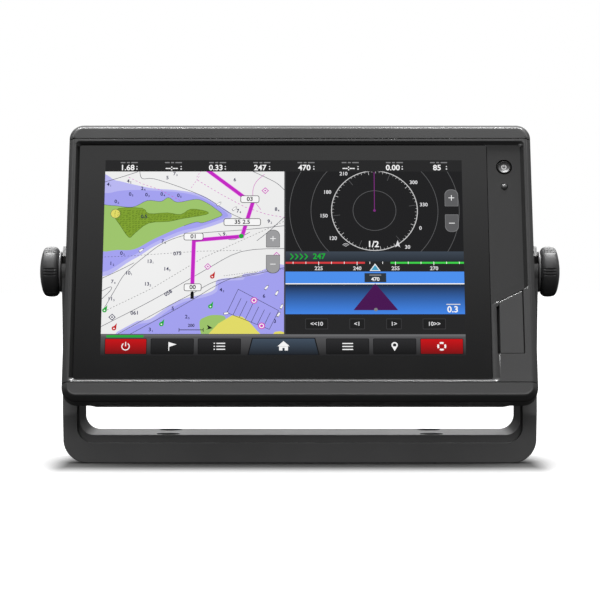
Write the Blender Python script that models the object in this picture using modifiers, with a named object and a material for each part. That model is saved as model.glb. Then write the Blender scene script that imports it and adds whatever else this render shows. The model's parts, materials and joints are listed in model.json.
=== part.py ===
"""A nine-inch marine chartplotter on its tilting bail bracket.

The display is modelled upright about its tilt pivot, with +X to the viewer's right, +Y into the case
and +Z up, and then leans back on an empty at that pivot. The bracket stands on the plane z = 0, with
the origin under the pivot. Units are metres.
"""

import math

import bmesh
import bpy
from mathutils import Matrix, Vector

MM = 0.001

# Driving dimensions: the display.
LEAN = math.radians(22)
PIVOT_HEIGHT = 104.3 * MM
FACE_WIDTH = 256 * MM
FACE_HEIGHT = 162 * MM
FACE_CORNER = 8 * MM
FACE_CHAMFER = 2.7 * MM
FACE_Y = -19.3 * MM
BEZEL_DEPTH = 10.3 * MM
TOP_SEAM = 71.9 * MM
BOTTOM_SEAM = -70.9 * MM
TRIM_THICK = 3 * MM
TRIM_WALL = 1.5 * MM

# The recess in the face: its edge at the face, its edge on the floor, and the raised land at lower right.
RECESS = 1.8 * MM
RECESS_LEFT, RECESS_RIGHT, RECESS_HALF_HEIGHT = -122.6 * MM, 124.3 * MM, 70.2 * MM
FLOOR_LEFT, FLOOR_RIGHT, FLOOR_HALF_HEIGHT = -120.4 * MM, 121.9 * MM, 68.6 * MM
LAND_LEFT, LAND_FLOOR_LEFT = 107.5 * MM, 104 * MM
LAND_SLOPE = 0.507
LAND_TOP_AT_LEFT = -24.7 * MM

# The cover glass, the picture on it and the liquid crystal module behind it.
GLASS_LEFT, GLASS_RIGHT, GLASS_HALF_HEIGHT = -120.2 * MM, 103.4 * MM, 68.4 * MM
GLASS_THICK = 1.8 * MM
PICTURE_WIDTH, PICTURE_HEIGHT = 197 * MM, 114.7 * MM
PICTURE_X, PICTURE_Z = -9 * MM, 2.05 * MM

# Controls.
KEY_X, KEY_Z, KEY_RADIUS, KEY_TRAVEL = 112.9 * MM, 55.3 * MM, 4.1 * MM, 0.5 * MM
KEY_FLANGE = 5 * MM
SENSOR_X, SENSOR_Z, SENSOR_RADIUS = 112.8 * MM, 43.6 * MM, 1.7 * MM
DOOR_LEFT, DOOR_RIGHT, DOOR_BOTTOM, DOOR_THICK = 108.1 * MM, 121 * MM, -54.3 * MM, 3 * MM
BAY_LEFT, BAY_RIGHT, BAY_BOTTOM, BAY_TOP, BAY_DEPTH = 108.9 * MM, 118 * MM, -54 * MM, -27.2 * MM, 7 * MM
CARD_X, CARD_WIDTH, CARD_SLIT, CARD_Z = 113.6 * MM, 11.6 * MM, 1.4 * MM, (-33.9 * MM, -47.4 * MM)

# The rear housing: deep where the boards are, shallow where the sockets are.
HOUSING_HALF_WIDTH, HOUSING_HALF_HEIGHT = 119.5 * MM, 73 * MM
HOUSING_REAR, SOCKET_WALL = 28 * MM, 17 * MM
STEP_LOW, STEP_HIGH = -27 * MM, -16 * MM
HOUSING_WALL = 2.5 * MM
DISPLAY_REAR = 32.7 * MM
SCREW_X, SCREW_Z = (-112 * MM, -40 * MM, 40 * MM, 112 * MM), (-67 * MM, 67 * MM)
SCREW_SEAT = -2 * MM
SINK_HALF_WIDTH, SINK_LOW, SINK_HIGH = 62 * MM, -6 * MM, 57 * MM
BOARD_SCREW_X, BOARD_SCREW_Z = (-88 * MM, 88 * MM), (-34 * MM, 52 * MM)
SOCKET_Z = -48 * MM
SOCKETS = (  # name, place along X, barrel radius, number of pins
    ("transducer_socket", -82 * MM, 11 * MM, 6),
    ("network_socket_2", -44 * MM, 9 * MM, 4),
    ("network_socket_1", -8 * MM, 9 * MM, 4),
    ("backbone_socket", 27 * MM, 7.5 * MM, 5),
    ("power_socket", 64 * MM, 9 * MM, 6),
)

# The bail bracket: a U seen from the front, whose arms narrow to hooks that carry the knob studs.
BASE_FRONT, BASE_REAR = -17 * MM, 38 * MM
BASE_HALF_WIDTH, ARM_INSIDE, ARM_LEAN = 129.3 * MM, 120.7 * MM, 1.6 * MM
BASE_CORNER, INSIDE_CORNER = 13 * MM, 8 * MM
BASE_FLOOR, LEDGE_FLOOR, LEDGE_DEPTH, LEDGE_STEP = 15.1 * MM, 10.9 * MM, 4 * MM, 1.1 * MM
FLARE_LOW, FLARE_HIGH = 26 * MM, 90 * MM
ARM_FRONT, ARM_REAR = -7.8 * MM, 14 * MM
HOOK_RADIUS, EAR_RADIUS = 8.5 * MM, 5.6 * MM
SLOT_WIDTH, SLOT_RISE = 6.6 * MM, math.radians(125)
BASE_HOLE_X, BASE_HOLES_Y, BASE_HOLE_RADIUS = 72.5 * MM, (-5 * MM, 26 * MM), 2.6 * MM
HEAD_RECESS_RADIUS, HEAD_RECESS_DEPTH = 6.5 * MM, 2 * MM
RIB_CELLS = ((3, 24), (26.5, 48.5), (51, 63), (82, 94), (96.5, 114))  # from and to, in millimetres
RIB_ROWS = ((-10.5, 9), (12, 31.5))

# The knobs, on M6 studs.
KNOB_INSIDE, KNOB_THICK, KNOB_RADIUS = 132.6 * MM, 10.6 * MM, 13.8 * MM
KNOB_GROUPS, KNOB_GROOVES, GROOVE_PITCH, GROOVE_DEPTH = 6, 3, math.radians(7), 0.5 * MM
STUD_RADIUS, STUD_END = 3 * MM, 108 * MM
WASHER_INSIDE, WASHER_THICK, WASHER_RADIUS = 131.2 * MM, 1.1 * MM, 11.2 * MM
BOSS_RADIUS, BOSS_HEIGHT = 11 * MM, 0.9 * MM
INSERT_RADIUS, INSERT_BOTTOM = 5 * MM, 106 * MM

GAP = 0.3 * MM
REST = 0.2 * MM
ROUND_STEPS = 20
CORNER_STEPS = 4

BEZEL_BACK = FACE_Y + BEZEL_DEPTH
GLASS_Y = FACE_Y + RECESS
HOUSING_FRONT = BEZEL_BACK + GAP
DOOR_PIN_X = DOOR_RIGHT - DOOR_THICK / 2
DOOR_PIN_Y = FACE_Y + DOOR_THICK / 2

# Each axis's own frame: the outline's two directions, and then the direction it is extruded or turned about.
FRAMES = {
    "X": Matrix(((0, 0, 1), (1, 0, 0), (0, 1, 0))),
    "Y": Matrix(((1, 0, 0), (0, 0, 1), (0, 1, 0))),
    "Z": Matrix.Identity(3),
}

for leftover in list(bpy.data.objects):
    bpy.data.objects.remove(leftover)
PARTS = bpy.data.collections.new("chartplotter")
CUTTERS = bpy.data.collections.new("cutters")
for collection in (PARTS, CUTTERS):
    bpy.context.scene.collection.children.link(collection)


def material(name, colour, roughness, metallic=0.0):
    """A plain Principled material."""
    made = bpy.data.materials.new(name)
    made.use_nodes = True
    shader = made.node_tree.nodes["Principled BSDF"]
    shader.inputs["Base Color"].default_value = (*colour, 1)
    shader.inputs["Roughness"].default_value = roughness
    shader.inputs["Metallic"].default_value = metallic
    made.diffuse_color = (*colour, 1)
    return made


HOUSING_PLASTIC = material("housing_plastic", (0.072, 0.072, 0.074), 0.55)
BRACKET_PLASTIC = material("bracket_plastic", (0.055, 0.055, 0.056), 0.6)
KNOB_RUBBER = material("knob_rubber", (0.03, 0.03, 0.031), 0.6)
GLASS = material("cover_glass", (0.02, 0.02, 0.022), 0.08)
BLACK_PLASTIC = material("black_plastic", (0.02, 0.02, 0.02), 0.5)
SEAL_RUBBER = material("seal_rubber", (0.012, 0.012, 0.012), 0.8)
SHEET_STEEL = material("sheet_steel", (0.55, 0.56, 0.57), 0.35, 1.0)
STAINLESS = material("stainless_steel", (0.62, 0.61, 0.59), 0.3, 1.0)
SINK_ALUMINIUM = material("sink_aluminium", (0.03, 0.03, 0.032), 0.45, 0.6)
PLATE_ALUMINIUM = material("plate_aluminium", (0.7, 0.71, 0.72), 0.4, 1.0)
BRASS = material("brass", (0.72, 0.53, 0.26), 0.35, 1.0)
BOARD_GREEN = material("circuit_board", (0.01, 0.09, 0.04), 0.5)
PAD_GREY = material("thermal_pad", (0.35, 0.42, 0.5), 0.9)
CERAMIC = material("ceramic", (0.62, 0.55, 0.42), 0.6)
KEY_RUBBER = material("key_rubber", (0.06, 0.06, 0.062), 0.45)
CLEAR = material("clear_window", (0.55, 0.55, 0.56), 0.15)


def keep(name, bm, finish):
    """Makes the object: a part if it has a finish, and otherwise a hidden cutter."""
    bmesh.ops.recalc_face_normals(bm, faces=bm.faces)
    mesh = bpy.data.meshes.new(name)
    bm.to_mesh(mesh)
    bm.free()
    mesh.shade_smooth()
    mesh.set_sharp_from_angle(angle=math.radians(30))
    made = bpy.data.objects.new(name, mesh)
    if finish:
        mesh.materials.append(finish)
        PARTS.objects.link(made)
    else:
        CUTTERS.objects.link(made)
        made.hide_render = True
        made.display_type = "WIRE"
    return made


def block(name, low, high, finish=None, axis="Y", corner=0, front=0, back=0):
    """A box whose edges along the axis are rounded, with chamfers round its near and far faces."""
    low, high = Vector(low), Vector(high)
    along = "XYZ".index(axis)
    bm = bmesh.new()
    bmesh.ops.create_cube(bm, size=1)
    bmesh.ops.scale(bm, vec=high - low, verts=bm.verts)
    bmesh.ops.translate(bm, vec=(low + high) / 2, verts=bm.verts)
    if corner:
        edges = [e for e in bm.edges if abs((e.verts[0].co - e.verts[1].co)[along]) > 1e-6]
        bmesh.ops.bevel(
            bm, geom=edges, offset=corner, segments=CORNER_STEPS, profile=0.5, affect="EDGES"
        )
    for end, width in ((low[along], front), (high[along], back)):
        if width:
            edges = [e for e in bm.edges if all(abs(v.co[along] - end) < 1e-6 for v in e.verts)]
            bmesh.ops.bevel(bm, geom=edges, offset=width, segments=1, affect="EDGES")
    return keep(name, bm, finish)


def slab(name, outlines, low, high, axis, finish=None):
    """Flat outlines, of which inner ones are holes, extruded along the axis."""
    curve = bpy.data.curves.new(name, "CURVE")
    curve.dimensions = "2D"
    curve.fill_mode = "BOTH"
    curve.extrude = (high - low) / 2
    for outline in outlines:
        spline = curve.splines.new("POLY")
        spline.points.add(len(outline) - 1)
        spline.use_cyclic_u = True
        for point, (u, v) in zip(spline.points, outline):
            point.co = (u, v, 0, 1)
    guide = bpy.data.objects.new(name, curve)
    CUTTERS.objects.link(guide)
    graph = bpy.context.evaluated_depsgraph_get()
    mesh = bpy.data.meshes.new_from_object(guide.evaluated_get(graph))
    bpy.data.objects.remove(guide)
    bm = bmesh.new()
    bm.from_mesh(mesh)
    bpy.data.meshes.remove(mesh)
    bmesh.ops.remove_doubles(bm, verts=bm.verts, dist=1e-6)
    bmesh.ops.translate(bm, vec=(0, 0, (low + high) / 2), verts=bm.verts)
    bmesh.ops.transform(bm, matrix=FRAMES[axis].to_4x4(), verts=bm.verts)
    return keep(name, bm, finish)


def loft(name, sections, axis, finish=None):
    """A solid through unlike sections: (place along the axis, outline), all with as many points."""
    bm = bmesh.new()
    frame = FRAMES[axis]
    rings = [[bm.verts.new(frame @ Vector((u, v, along))) for u, v in outline] for along, outline in sections]
    for near, far in zip(rings, rings[1:]):
        for i in range(len(near)):
            bm.faces.new((near[i - 1], near[i], far[i], far[i - 1]))
    bm.faces.new(rings[0])
    bm.faces.new(rings[-1])
    return keep(name, bm, finish)


def turned(name, profile, centre, axis, finish=None, steps=ROUND_STEPS):
    """A profile of (radius, place along the axis) turned about that axis through the centre."""
    mesh = bpy.data.meshes.new(name)
    edges = [(i, i + 1) for i in range(len(profile) - 1)]
    mesh.from_pydata([(radius, 0, along) for radius, along in profile], edges, [])
    guide = bpy.data.objects.new(name, mesh)
    CUTTERS.objects.link(guide)
    screw = guide.modifiers.new("turn", "SCREW")
    screw.steps = screw.render_steps = steps
    screw.use_merge_vertices = True
    screw.merge_threshold = 1e-6
    graph = bpy.context.evaluated_depsgraph_get()
    bm = bmesh.new()
    bm.from_object(guide, graph)
    bpy.data.objects.remove(guide)
    bmesh.ops.remove_doubles(bm, verts=bm.verts, dist=1e-6)
    bmesh.ops.transform(bm, matrix=Matrix.Translation(centre) @ FRAMES[axis].to_4x4(), verts=bm.verts)
    return keep(name, bm, finish)


def rod(name, centre, radius, low, high, axis, finish=None, steps=ROUND_STEPS):
    """A round bar or hole through the centre, from low to high along the axis."""
    bm = bmesh.new()
    bmesh.ops.create_cone(
        bm, cap_ends=True, segments=steps, radius1=radius, radius2=radius, depth=high - low
    )
    bmesh.ops.translate(bm, vec=(0, 0, (low + high) / 2), verts=bm.verts)
    bmesh.ops.transform(bm, matrix=Matrix.Translation(centre) @ FRAMES[axis].to_4x4(), verts=bm.verts)
    return keep(name, bm, finish)


def combine(target, operation, *tools):
    """Stacks one Boolean for each tool."""
    for tool in tools:
        step = target.modifiers.new(tool.name, "BOOLEAN")
        step.operation = operation
        step.object = tool
    return target


def cut(target, *tools):
    return combine(target, "DIFFERENCE", *tools)


def unite(target, *tools):
    return combine(target, "UNION", *tools)


def trim_to(target, *tools):
    return combine(target, "INTERSECT", *tools)


def pivot_on(piece, point):
    """Puts the piece's origin on its joint's axis."""
    piece.data.transform(Matrix.Translation(-Vector(point)))
    piece.location = point


def arc(centre, radius, start, end, steps):
    """Points on an arc, with both ends."""
    angles = [start + (end - start) * i / steps for i in range(steps + 1)]
    return [(centre[0] + radius * math.cos(a), centre[1] + radius * math.sin(a)) for a in angles]


def ring(name, low, high, width, front, back, finish=None):
    """A flat rectangular ring in the plane of the face."""
    outer = [(low[0], low[1]), (high[0], low[1]), (high[0], high[1]), (low[0], high[1])]
    inner = [
        (low[0] + width, low[1] + width),
        (high[0] - width, low[1] + width),
        (high[0] - width, high[1] - width),
        (low[0] + width, high[1] - width),
    ]
    return slab(name, (outer, inner), front, back, "Y", finish)


def land_edge(x):
    """Height of the land's slanted top edge."""
    return LAND_TOP_AT_LEFT + LAND_SLOPE * (x - LAND_LEFT)


def whole_face(name, inset=0, front=FACE_Y, chamfer=FACE_CHAMFER, back=BEZEL_BACK, finish=None):
    """The bezel's full outline, before the trims are parted from it."""
    half_width, half_height = FACE_WIDTH / 2 - inset, FACE_HEIGHT / 2 - inset
    low, high = (-half_width, front, -half_height), (half_width, back, half_height)
    return block(name, low, high, finish, corner=FACE_CORNER - inset, front=chamfer)


def band(name, low, high, overshoot=5 * MM):
    """A cutter as wide as the face, between two heights."""
    reach = FACE_WIDTH / 2 + overshoot
    return block(name, (-reach, FACE_Y - overshoot, low), (reach, BEZEL_BACK + overshoot, high))


def recess_cutter():
    """The dished recess, which goes round the raised land that holds the card door."""

    def outline(left, right, half_height, land_left, rise):
        return [
            (left, -half_height),
            (land_left, -half_height),
            (land_left, land_edge(land_left) + rise),
            (right, land_edge(right) + rise),
            (right, half_height),
            (left, half_height),
        ]

    face = outline(RECESS_LEFT, RECESS_RIGHT, RECESS_HALF_HEIGHT, LAND_LEFT, 0)
    floor = outline(FLOOR_LEFT, FLOOR_RIGHT, FLOOR_HALF_HEIGHT, LAND_FLOOR_LEFT, 0.5 * MM)
    return loft("recess", ((FACE_Y - 1 * MM, face), (FACE_Y, face), (GLASS_Y, floor)), "Y")


def door_outline(grow):
    """The card door seen from the front, grown by a clearance, with its slanted top edge."""
    left, right, bottom = DOOR_LEFT - grow, DOOR_RIGHT + grow, DOOR_BOTTOM - grow
    rise = grow * math.hypot(1, LAND_SLOPE)
    return [
        (left, bottom),
        (right, bottom),
        (right, land_edge(right) + rise - REST),
        (left, land_edge(left) + rise - REST),
    ]


def make_bezel():
    bezel = whole_face("front_bezel", finish=HOUSING_PLASTIC)
    trim_to(bezel, band("between_trims", BOTTOM_SEAM + GAP, TOP_SEAM - GAP))
    core_front = FACE_Y + TRIM_THICK + GAP
    unite(bezel, whole_face("core", TRIM_WALL + GAP, core_front, 0))
    cut(
        bezel,
        recess_cutter(),
        block(
            "glass_seat",
            (GLASS_LEFT - REST, GLASS_Y - 1 * MM, -GLASS_HALF_HEIGHT - REST),
            (GLASS_RIGHT + REST, GLASS_Y + GLASS_THICK + 0.5 * MM, GLASS_HALF_HEIGHT + REST),
        ),
        block("module_opening", (-115.2 * MM, FACE_Y, -62 * MM), (97.2 * MM, 0, 66.2 * MM)),
        block("cavity", (-115.5 * MM, -13.8 * MM, -65.4 * MM), (101 * MM, 0, 65.4 * MM)),
        block("column_cavity", (100 * MM, -14.5 * MM, -12 * MM), (115.5 * MM, 0, 65 * MM)),
        rod("key_hole", (KEY_X, 0, KEY_Z), KEY_RADIUS + GAP, FACE_Y, -10 * MM, "Y"),
        rod("key_seat", (KEY_X, 0, KEY_Z), KEY_FLANGE + GAP, -14.5 * MM, -11 * MM, "Y"),
        rod("sensor_hole", (SENSOR_X, 0, SENSOR_Z), SENSOR_RADIUS + REST, FACE_Y, -10 * MM, "Y", steps=16),
        slab("door_pocket", (door_outline(GAP),), FACE_Y - 1 * MM, FACE_Y + DOOR_THICK + GAP, "Y"),
        block(
            "finger_notch",
            (106.4 * MM, FACE_Y - 1 * MM, DOOR_BOTTOM - GAP + 0.05 * MM),
            (DOOR_LEFT, FACE_Y + DOOR_THICK, -27.4 * MM),
        ),
        block(
            "card_bay",
            (BAY_LEFT, FACE_Y, BAY_BOTTOM),
            (BAY_RIGHT, FACE_Y + BAY_DEPTH, BAY_TOP),
            corner=1.5 * MM,
        ),
        ring(
            "seal_groove",
            (-HOUSING_HALF_WIDTH + 0.4 * MM, -HOUSING_HALF_HEIGHT + 0.4 * MM),
            (HOUSING_HALF_WIDTH - 0.4 * MM, HOUSING_HALF_HEIGHT - 0.4 * MM),
            1.9 * MM,
            BEZEL_BACK - 1.1 * MM,
            BEZEL_BACK + 1 * MM,
        ),
        rod("pin_hole", (DOOR_PIN_X, DOOR_PIN_Y, 0), 0.7 * MM, DOOR_BOTTOM - 3 * MM, -30 * MM, "Z", steps=12),
    )
    for n, z in enumerate(CARD_Z):
        low = (CARD_X - CARD_SLIT / 2, FACE_Y, z - CARD_WIDTH / 2)
        high = (CARD_X + CARD_SLIT / 2, 0, z + CARD_WIDTH / 2)
        cut(bezel, block(f"card_slit_{n}", low, high))
    for x in SCREW_X:
        for z in SCREW_Z:
            name = f"pilot_{x / MM:.0f}_{z / MM:.0f}"
            cut(bezel, rod(name, (x, 0, z), 1.45 * MM, -14 * MM, 0, "Y", steps=12))
    for x in (-100 * MM, 100 * MM):
        for z in (-75.6 * MM, 75.6 * MM):
            name = f"flush_hole_{x / MM:.0f}_{z / MM:.0f}"
            cut(bezel, rod(name, (x, 0, z), 1.9 * MM, FACE_Y, 0, "Y", steps=12))


def make_trims():
    """Push-fit strips that hide the screw holes used for flush mounting."""
    hollow = whole_face("trim_hollow", TRIM_WALL, FACE_Y + TRIM_THICK, 0, 0)
    for name, low, high in (
        ("top_trim", TOP_SEAM, FACE_HEIGHT),
        ("bottom_trim", -FACE_HEIGHT, BOTTOM_SEAM),
    ):
        trim = whole_face(name, finish=HOUSING_PLASTIC)
        trim_to(trim, band(name + "_band", low, high))
        cut(trim, hollow)


def make_screen():
    glass = (GLASS_LEFT, GLASS_Y, -GLASS_HALF_HEIGHT), (GLASS_RIGHT, GLASS_Y + GLASS_THICK, GLASS_HALF_HEIGHT)
    block("cover_glass", *glass, GLASS, corner=1.2 * MM, front=0.2 * MM)
    tape_front = GLASS_Y + GLASS_THICK + 0.1 * MM
    low, high = (GLASS_LEFT + GAP, -GLASS_HALF_HEIGHT + GAP), (GLASS_RIGHT - GAP, GLASS_HALF_HEIGHT - GAP)
    outer = [low, (high[0], low[1]), high, (low[0], high[1])]
    inner = [(-115.5 * MM, -62.3 * MM), (97.5 * MM, -62.3 * MM), (97.5 * MM, 66.5 * MM), (-115.5 * MM, 66.5 * MM)]
    slab("glass_tape", (outer, inner), tape_front, tape_front + 0.3 * MM, "Y", BLACK_PLASTIC)

    def module(name, margin, near, far, finish, **edges):
        half_width, half_height = PICTURE_WIDTH / 2 + margin, PICTURE_HEIGHT / 2 + margin
        low = (PICTURE_X - half_width, near, PICTURE_Z - half_height)
        high = (PICTURE_X + half_width, far, PICTURE_Z + half_height)
        return block(name, low, high, finish, **edges)

    panel_front = GLASS_Y + GLASS_THICK + REST
    module("lcd_panel", 3 * MM, panel_front, panel_front + 1.4 * MM, GLASS)
    tray_front = panel_front + 1.6 * MM
    tray = module("backlight_tray", 5 * MM, tray_front, -9.4 * MM, SHEET_STEEL, corner=2 * MM, back=0.6 * MM)
    for n, x in enumerate((-70 * MM, 52 * MM)):
        low, high = (x - 38 * MM, -10 * MM, -40 * MM), (x + 38 * MM, 0, 44 * MM)
        cut(tray, block(f"tray_dish_{n}", low, high, corner=4 * MM))


def make_controls():
    key_centre = (KEY_X, 0, KEY_Z)
    crown = GLASS_Y + 0.1 * MM
    profile = [
        (0, crown + 0.6 * MM),
        (1.6 * MM, crown + 0.5 * MM),
        (3.3 * MM, crown),
        (KEY_RADIUS - 0.2 * MM, crown),
        (KEY_RADIUS, crown + 0.3 * MM),
        (KEY_RADIUS, -14.3 * MM),
        (KEY_FLANGE, -14.2 * MM),
        (KEY_FLANGE, -13.7 * MM),
        (1.2 * MM, -13.6 * MM),
        (1.2 * MM, -13.4 * MM),
        (0, -13.4 * MM),
    ]
    key = turned("power_key", profile, key_centre, "Y", KEY_RUBBER)
    pivot_on(key, key_centre)
    icon_seat = rod("icon_seat", key_centre, 1.7 * MM, FACE_Y, crown + 1.2 * MM, "Y", steps=16)
    cut(key, icon_seat)
    icon = rod("power_key_light_pipe", key_centre, 1.5 * MM, crown + 0.4 * MM, crown + 1 * MM, "Y", CLEAR, 16)
    pivot_on(icon, key_centre)

    board = block(
        "key_board", (106 * MM, -11.6 * MM, 38 * MM), (115 * MM, -10.4 * MM, 62 * MM), BOARD_GREEN
    )
    switch = (KEY_X - 2 * MM, -12.7 * MM, KEY_Z - 2 * MM), (KEY_X + 2 * MM, -11.8 * MM, KEY_Z + 2 * MM)
    block("key_switch", *switch, SHEET_STEEL, corner=0.6 * MM)
    chip = (111.8 * MM, -12.4 * MM, 42.6 * MM), (113.8 * MM, -11 * MM, 44.6 * MM)
    unite(board, block("sensor_chip", *chip))
    lens = [
        (0, GLASS_Y - 0.3 * MM),
        (1 * MM, GLASS_Y - 0.2 * MM),
        (SENSOR_RADIUS, GLASS_Y + 0.1 * MM),
        (SENSOR_RADIUS, -14 * MM),
        (0, -14 * MM),
    ]
    turned("light_sensor_lens", lens, (SENSOR_X, 0, SENSOR_Z), "Y", CLEAR, 16)


def make_card_door():
    """The door turns on a steel pin in its right edge, which is round about that pin."""
    hinge = (DOOR_PIN_X, DOOR_PIN_Y, 0)
    door = slab("card_door", (door_outline(0),), FACE_Y, FACE_Y + DOOR_THICK, "Y", HOUSING_PLASTIC)
    corner = DOOR_THICK / 2
    square = block(
        "hinge_square",
        (DOOR_PIN_X, FACE_Y - 1 * MM, DOOR_BOTTOM - 1 * MM),
        (DOOR_RIGHT + 1 * MM, FACE_Y + DOOR_THICK + 1 * MM, 0),
    )
    cut(square, rod("hinge_round", hinge, corner, DOOR_BOTTOM - 2 * MM, 1 * MM, "Z", steps=32))
    bore = rod("hinge_bore", hinge, 0.8 * MM, DOOR_BOTTOM - 1 * MM, -28 * MM, "Z", steps=12)
    # Behind its front skin the hinged edge is lower, to turn under the pocket's slanted top.
    low = (DOOR_PIN_X - corner - 0.1 * MM, FACE_Y + 0.9 * MM, land_edge(DOOR_PIN_X - corner))
    cut(door, square, bore, block("hinge_relief", low, (DOOR_RIGHT + 1 * MM, 0, 0)))
    rod("card_door_pin", hinge, 0.6 * MM, DOOR_BOTTOM - 2.5 * MM, -30 * MM, "Z", STAINLESS, 12)
    low = (BAY_LEFT + 0.6 * MM, BAY_BOTTOM + 0.6 * MM)
    high = (BAY_RIGHT - 0.6 * MM, BAY_TOP - 0.6 * MM)
    inside = FACE_Y + DOOR_THICK
    gasket = ring("card_door_gasket", low, high, 1.2 * MM, inside + REST, inside + 1.2 * MM, SEAL_RUBBER)
    for piece in (door, gasket):
        pivot_on(piece, hinge)


def make_card_reader():
    board = (116.2 * MM, -8.2 * MM, -56 * MM), (116.8 * MM, 8 * MM, -25 * MM)
    block("card_board", *board, BOARD_GREEN, axis="X")
    for name, z in zip(("card_socket_upper", "card_socket_lower"), CARD_Z):
        low, high = (CARD_X - 1.6 * MM, -8.6 * MM, z - 6.6 * MM), (116 * MM, 6.5 * MM, z + 6.6 * MM)
        socket = block(name, low, high, SHEET_STEEL, axis="X", corner=0.5 * MM)
        low = (CARD_X - 0.5 * MM, -10 * MM, z - 5.6 * MM)
        cut(socket, block(name + "_slit", low, (CARD_X + 0.5 * MM, 5 * MM, z + 5.6 * MM)))


def housing_block(name, inset, extra_front, finish=None):
    """The housing's stepped body, or with an inset the space inside it."""
    half_width, half_height = HOUSING_HALF_WIDTH - inset, HOUSING_HALF_HEIGHT - inset
    front, rear, shelf = HOUSING_FRONT - extra_front, HOUSING_REAR - inset, SOCKET_WALL - inset
    side = [
        (front, -half_height),
        (shelf, -half_height),
        (shelf, STEP_LOW + 0.4 * inset),
        (rear, STEP_HIGH + 0.4 * inset),
        (rear, half_height),
        (front, half_height),
    ]
    body = slab(name, (side,), -half_width, half_width, "X", finish)
    low, high = (-half_width, front - 1 * MM, -half_height), (half_width, rear, half_height)
    shape = block(name + "_shape", low, high, corner=FACE_CORNER - inset, back=4.5 * MM)
    return trim_to(body, shape)


def make_housing():
    housing = housing_block("rear_housing", 0, 0, HOUSING_PLASTIC)
    cut(housing, housing_block("housing_space", HOUSING_WALL, 2 * MM))
    for side in (-1, 1):
        name = "left" if side < 0 else "right"
        outside, inside = HOUSING_HALF_WIDTH, INSERT_BOTTOM - 2 * MM
        column = rod(f"{name}_boss_column", (0, 0, 0), 7.5 * MM, *sorted((side * inside, side * outside)), "X")
        ends = sorted((side * (outside - 1 * MM), side * (outside + BOSS_HEIGHT)))
        boss = rod(f"{name}_boss", (0, 0, 0), BOSS_RADIUS, *ends, "X")
        trim_to(boss, block(f"{name}_boss_room", (-130 * MM, HOUSING_FRONT, -15 * MM), (130 * MM, 15 * MM, 15 * MM)))
        unite(housing, column, boss)
        ends = sorted((side * (INSERT_BOTTOM - REST), side * (outside + 5 * MM)))
        cut(housing, rod(f"{name}_insert_hole", (0, 0, 0), INSERT_RADIUS + REST, *ends, "X"))
    for x in SCREW_X:
        for z in SCREW_Z:
            rear = SOCKET_WALL if z < 0 else HOUSING_REAR
            tag = f"{x / MM:.0f}_{z / MM:.0f}"
            column = rod("column_" + tag, (x, 0, z), 4.3 * MM, HOUSING_FRONT, rear - 1 * MM, "Y", steps=12)
            trim_to(column, block("column_room_" + tag, (-118 * MM, -20 * MM, -71.5 * MM), (118 * MM, 30 * MM, 71.5 * MM)))
            unite(housing, column)
            cut(
                housing,
                rod("tunnel_" + tag, (x, 0, z), 3.1 * MM, SCREW_SEAT, 40 * MM, "Y", steps=12),
                rod("shank_hole_" + tag, (x, 0, z), 1.6 * MM, -12 * MM, 0, "Y", steps=8),
            )
    sink_low = (-SINK_HALF_WIDTH - GAP, HOUSING_REAR - 0.8 * MM, SINK_LOW - GAP)
    sink_high = (SINK_HALF_WIDTH + GAP, HOUSING_REAR + 5 * MM, SINK_HIGH + GAP)
    cut(
        housing,
        block("sink_seat", sink_low, sink_high, corner=3 * MM),
        block("sink_opening", (-30 * MM, 10 * MM, 6 * MM), (30 * MM, 40 * MM, 46 * MM), corner=3 * MM),
        rod("vent_hole", (95 * MM, 0, 20 * MM), 2.7 * MM, 20 * MM, 40 * MM, "Y", steps=16),
    )
    for name, x, radius, _ in SOCKETS:
        cut(housing, rod(name + "_hole", (x, 0, SOCKET_Z), radius - 0.4 * MM, 8 * MM, 25 * MM, "Y"))

    inset = 0.5 * MM
    ring(
        "housing_seal",
        (-HOUSING_HALF_WIDTH + inset, -HOUSING_HALF_HEIGHT + inset),
        (HOUSING_HALF_WIDTH - inset, HOUSING_HALF_HEIGHT - inset),
        1.7 * MM,
        BEZEL_BACK - 0.9 * MM,
        HOUSING_FRONT - 0.1 * MM,
        SEAL_RUBBER,
    )


def make_heat_sink():
    """A black finned plate on the rear face, with a foot that reaches the processor's thermal pad."""
    base = HOUSING_REAR - 0.8 * MM + REST
    low, high = (-SINK_HALF_WIDTH, base, SINK_LOW), (SINK_HALF_WIDTH, base + 2.4 * MM, SINK_HIGH)
    sink = block("heat_sink", low, high, SINK_ALUMINIUM, corner=3 * MM)
    unite(sink, block("sink_foot", (-20 * MM, 6.2 * MM, 12 * MM), (20 * MM, base + 1 * MM, 40 * MM), corner=2 * MM))
    fins, pitch = 13, 8.6 * MM
    for n in range(fins):
        x = (n - (fins - 1) / 2) * pitch
        low = (x - 1 * MM, base + 1 * MM, SINK_LOW + 4 * MM)
        unite(sink, block(f"fin_{n}", low, (x + 1 * MM, DISPLAY_REAR, SINK_HIGH - 4 * MM)))


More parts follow.
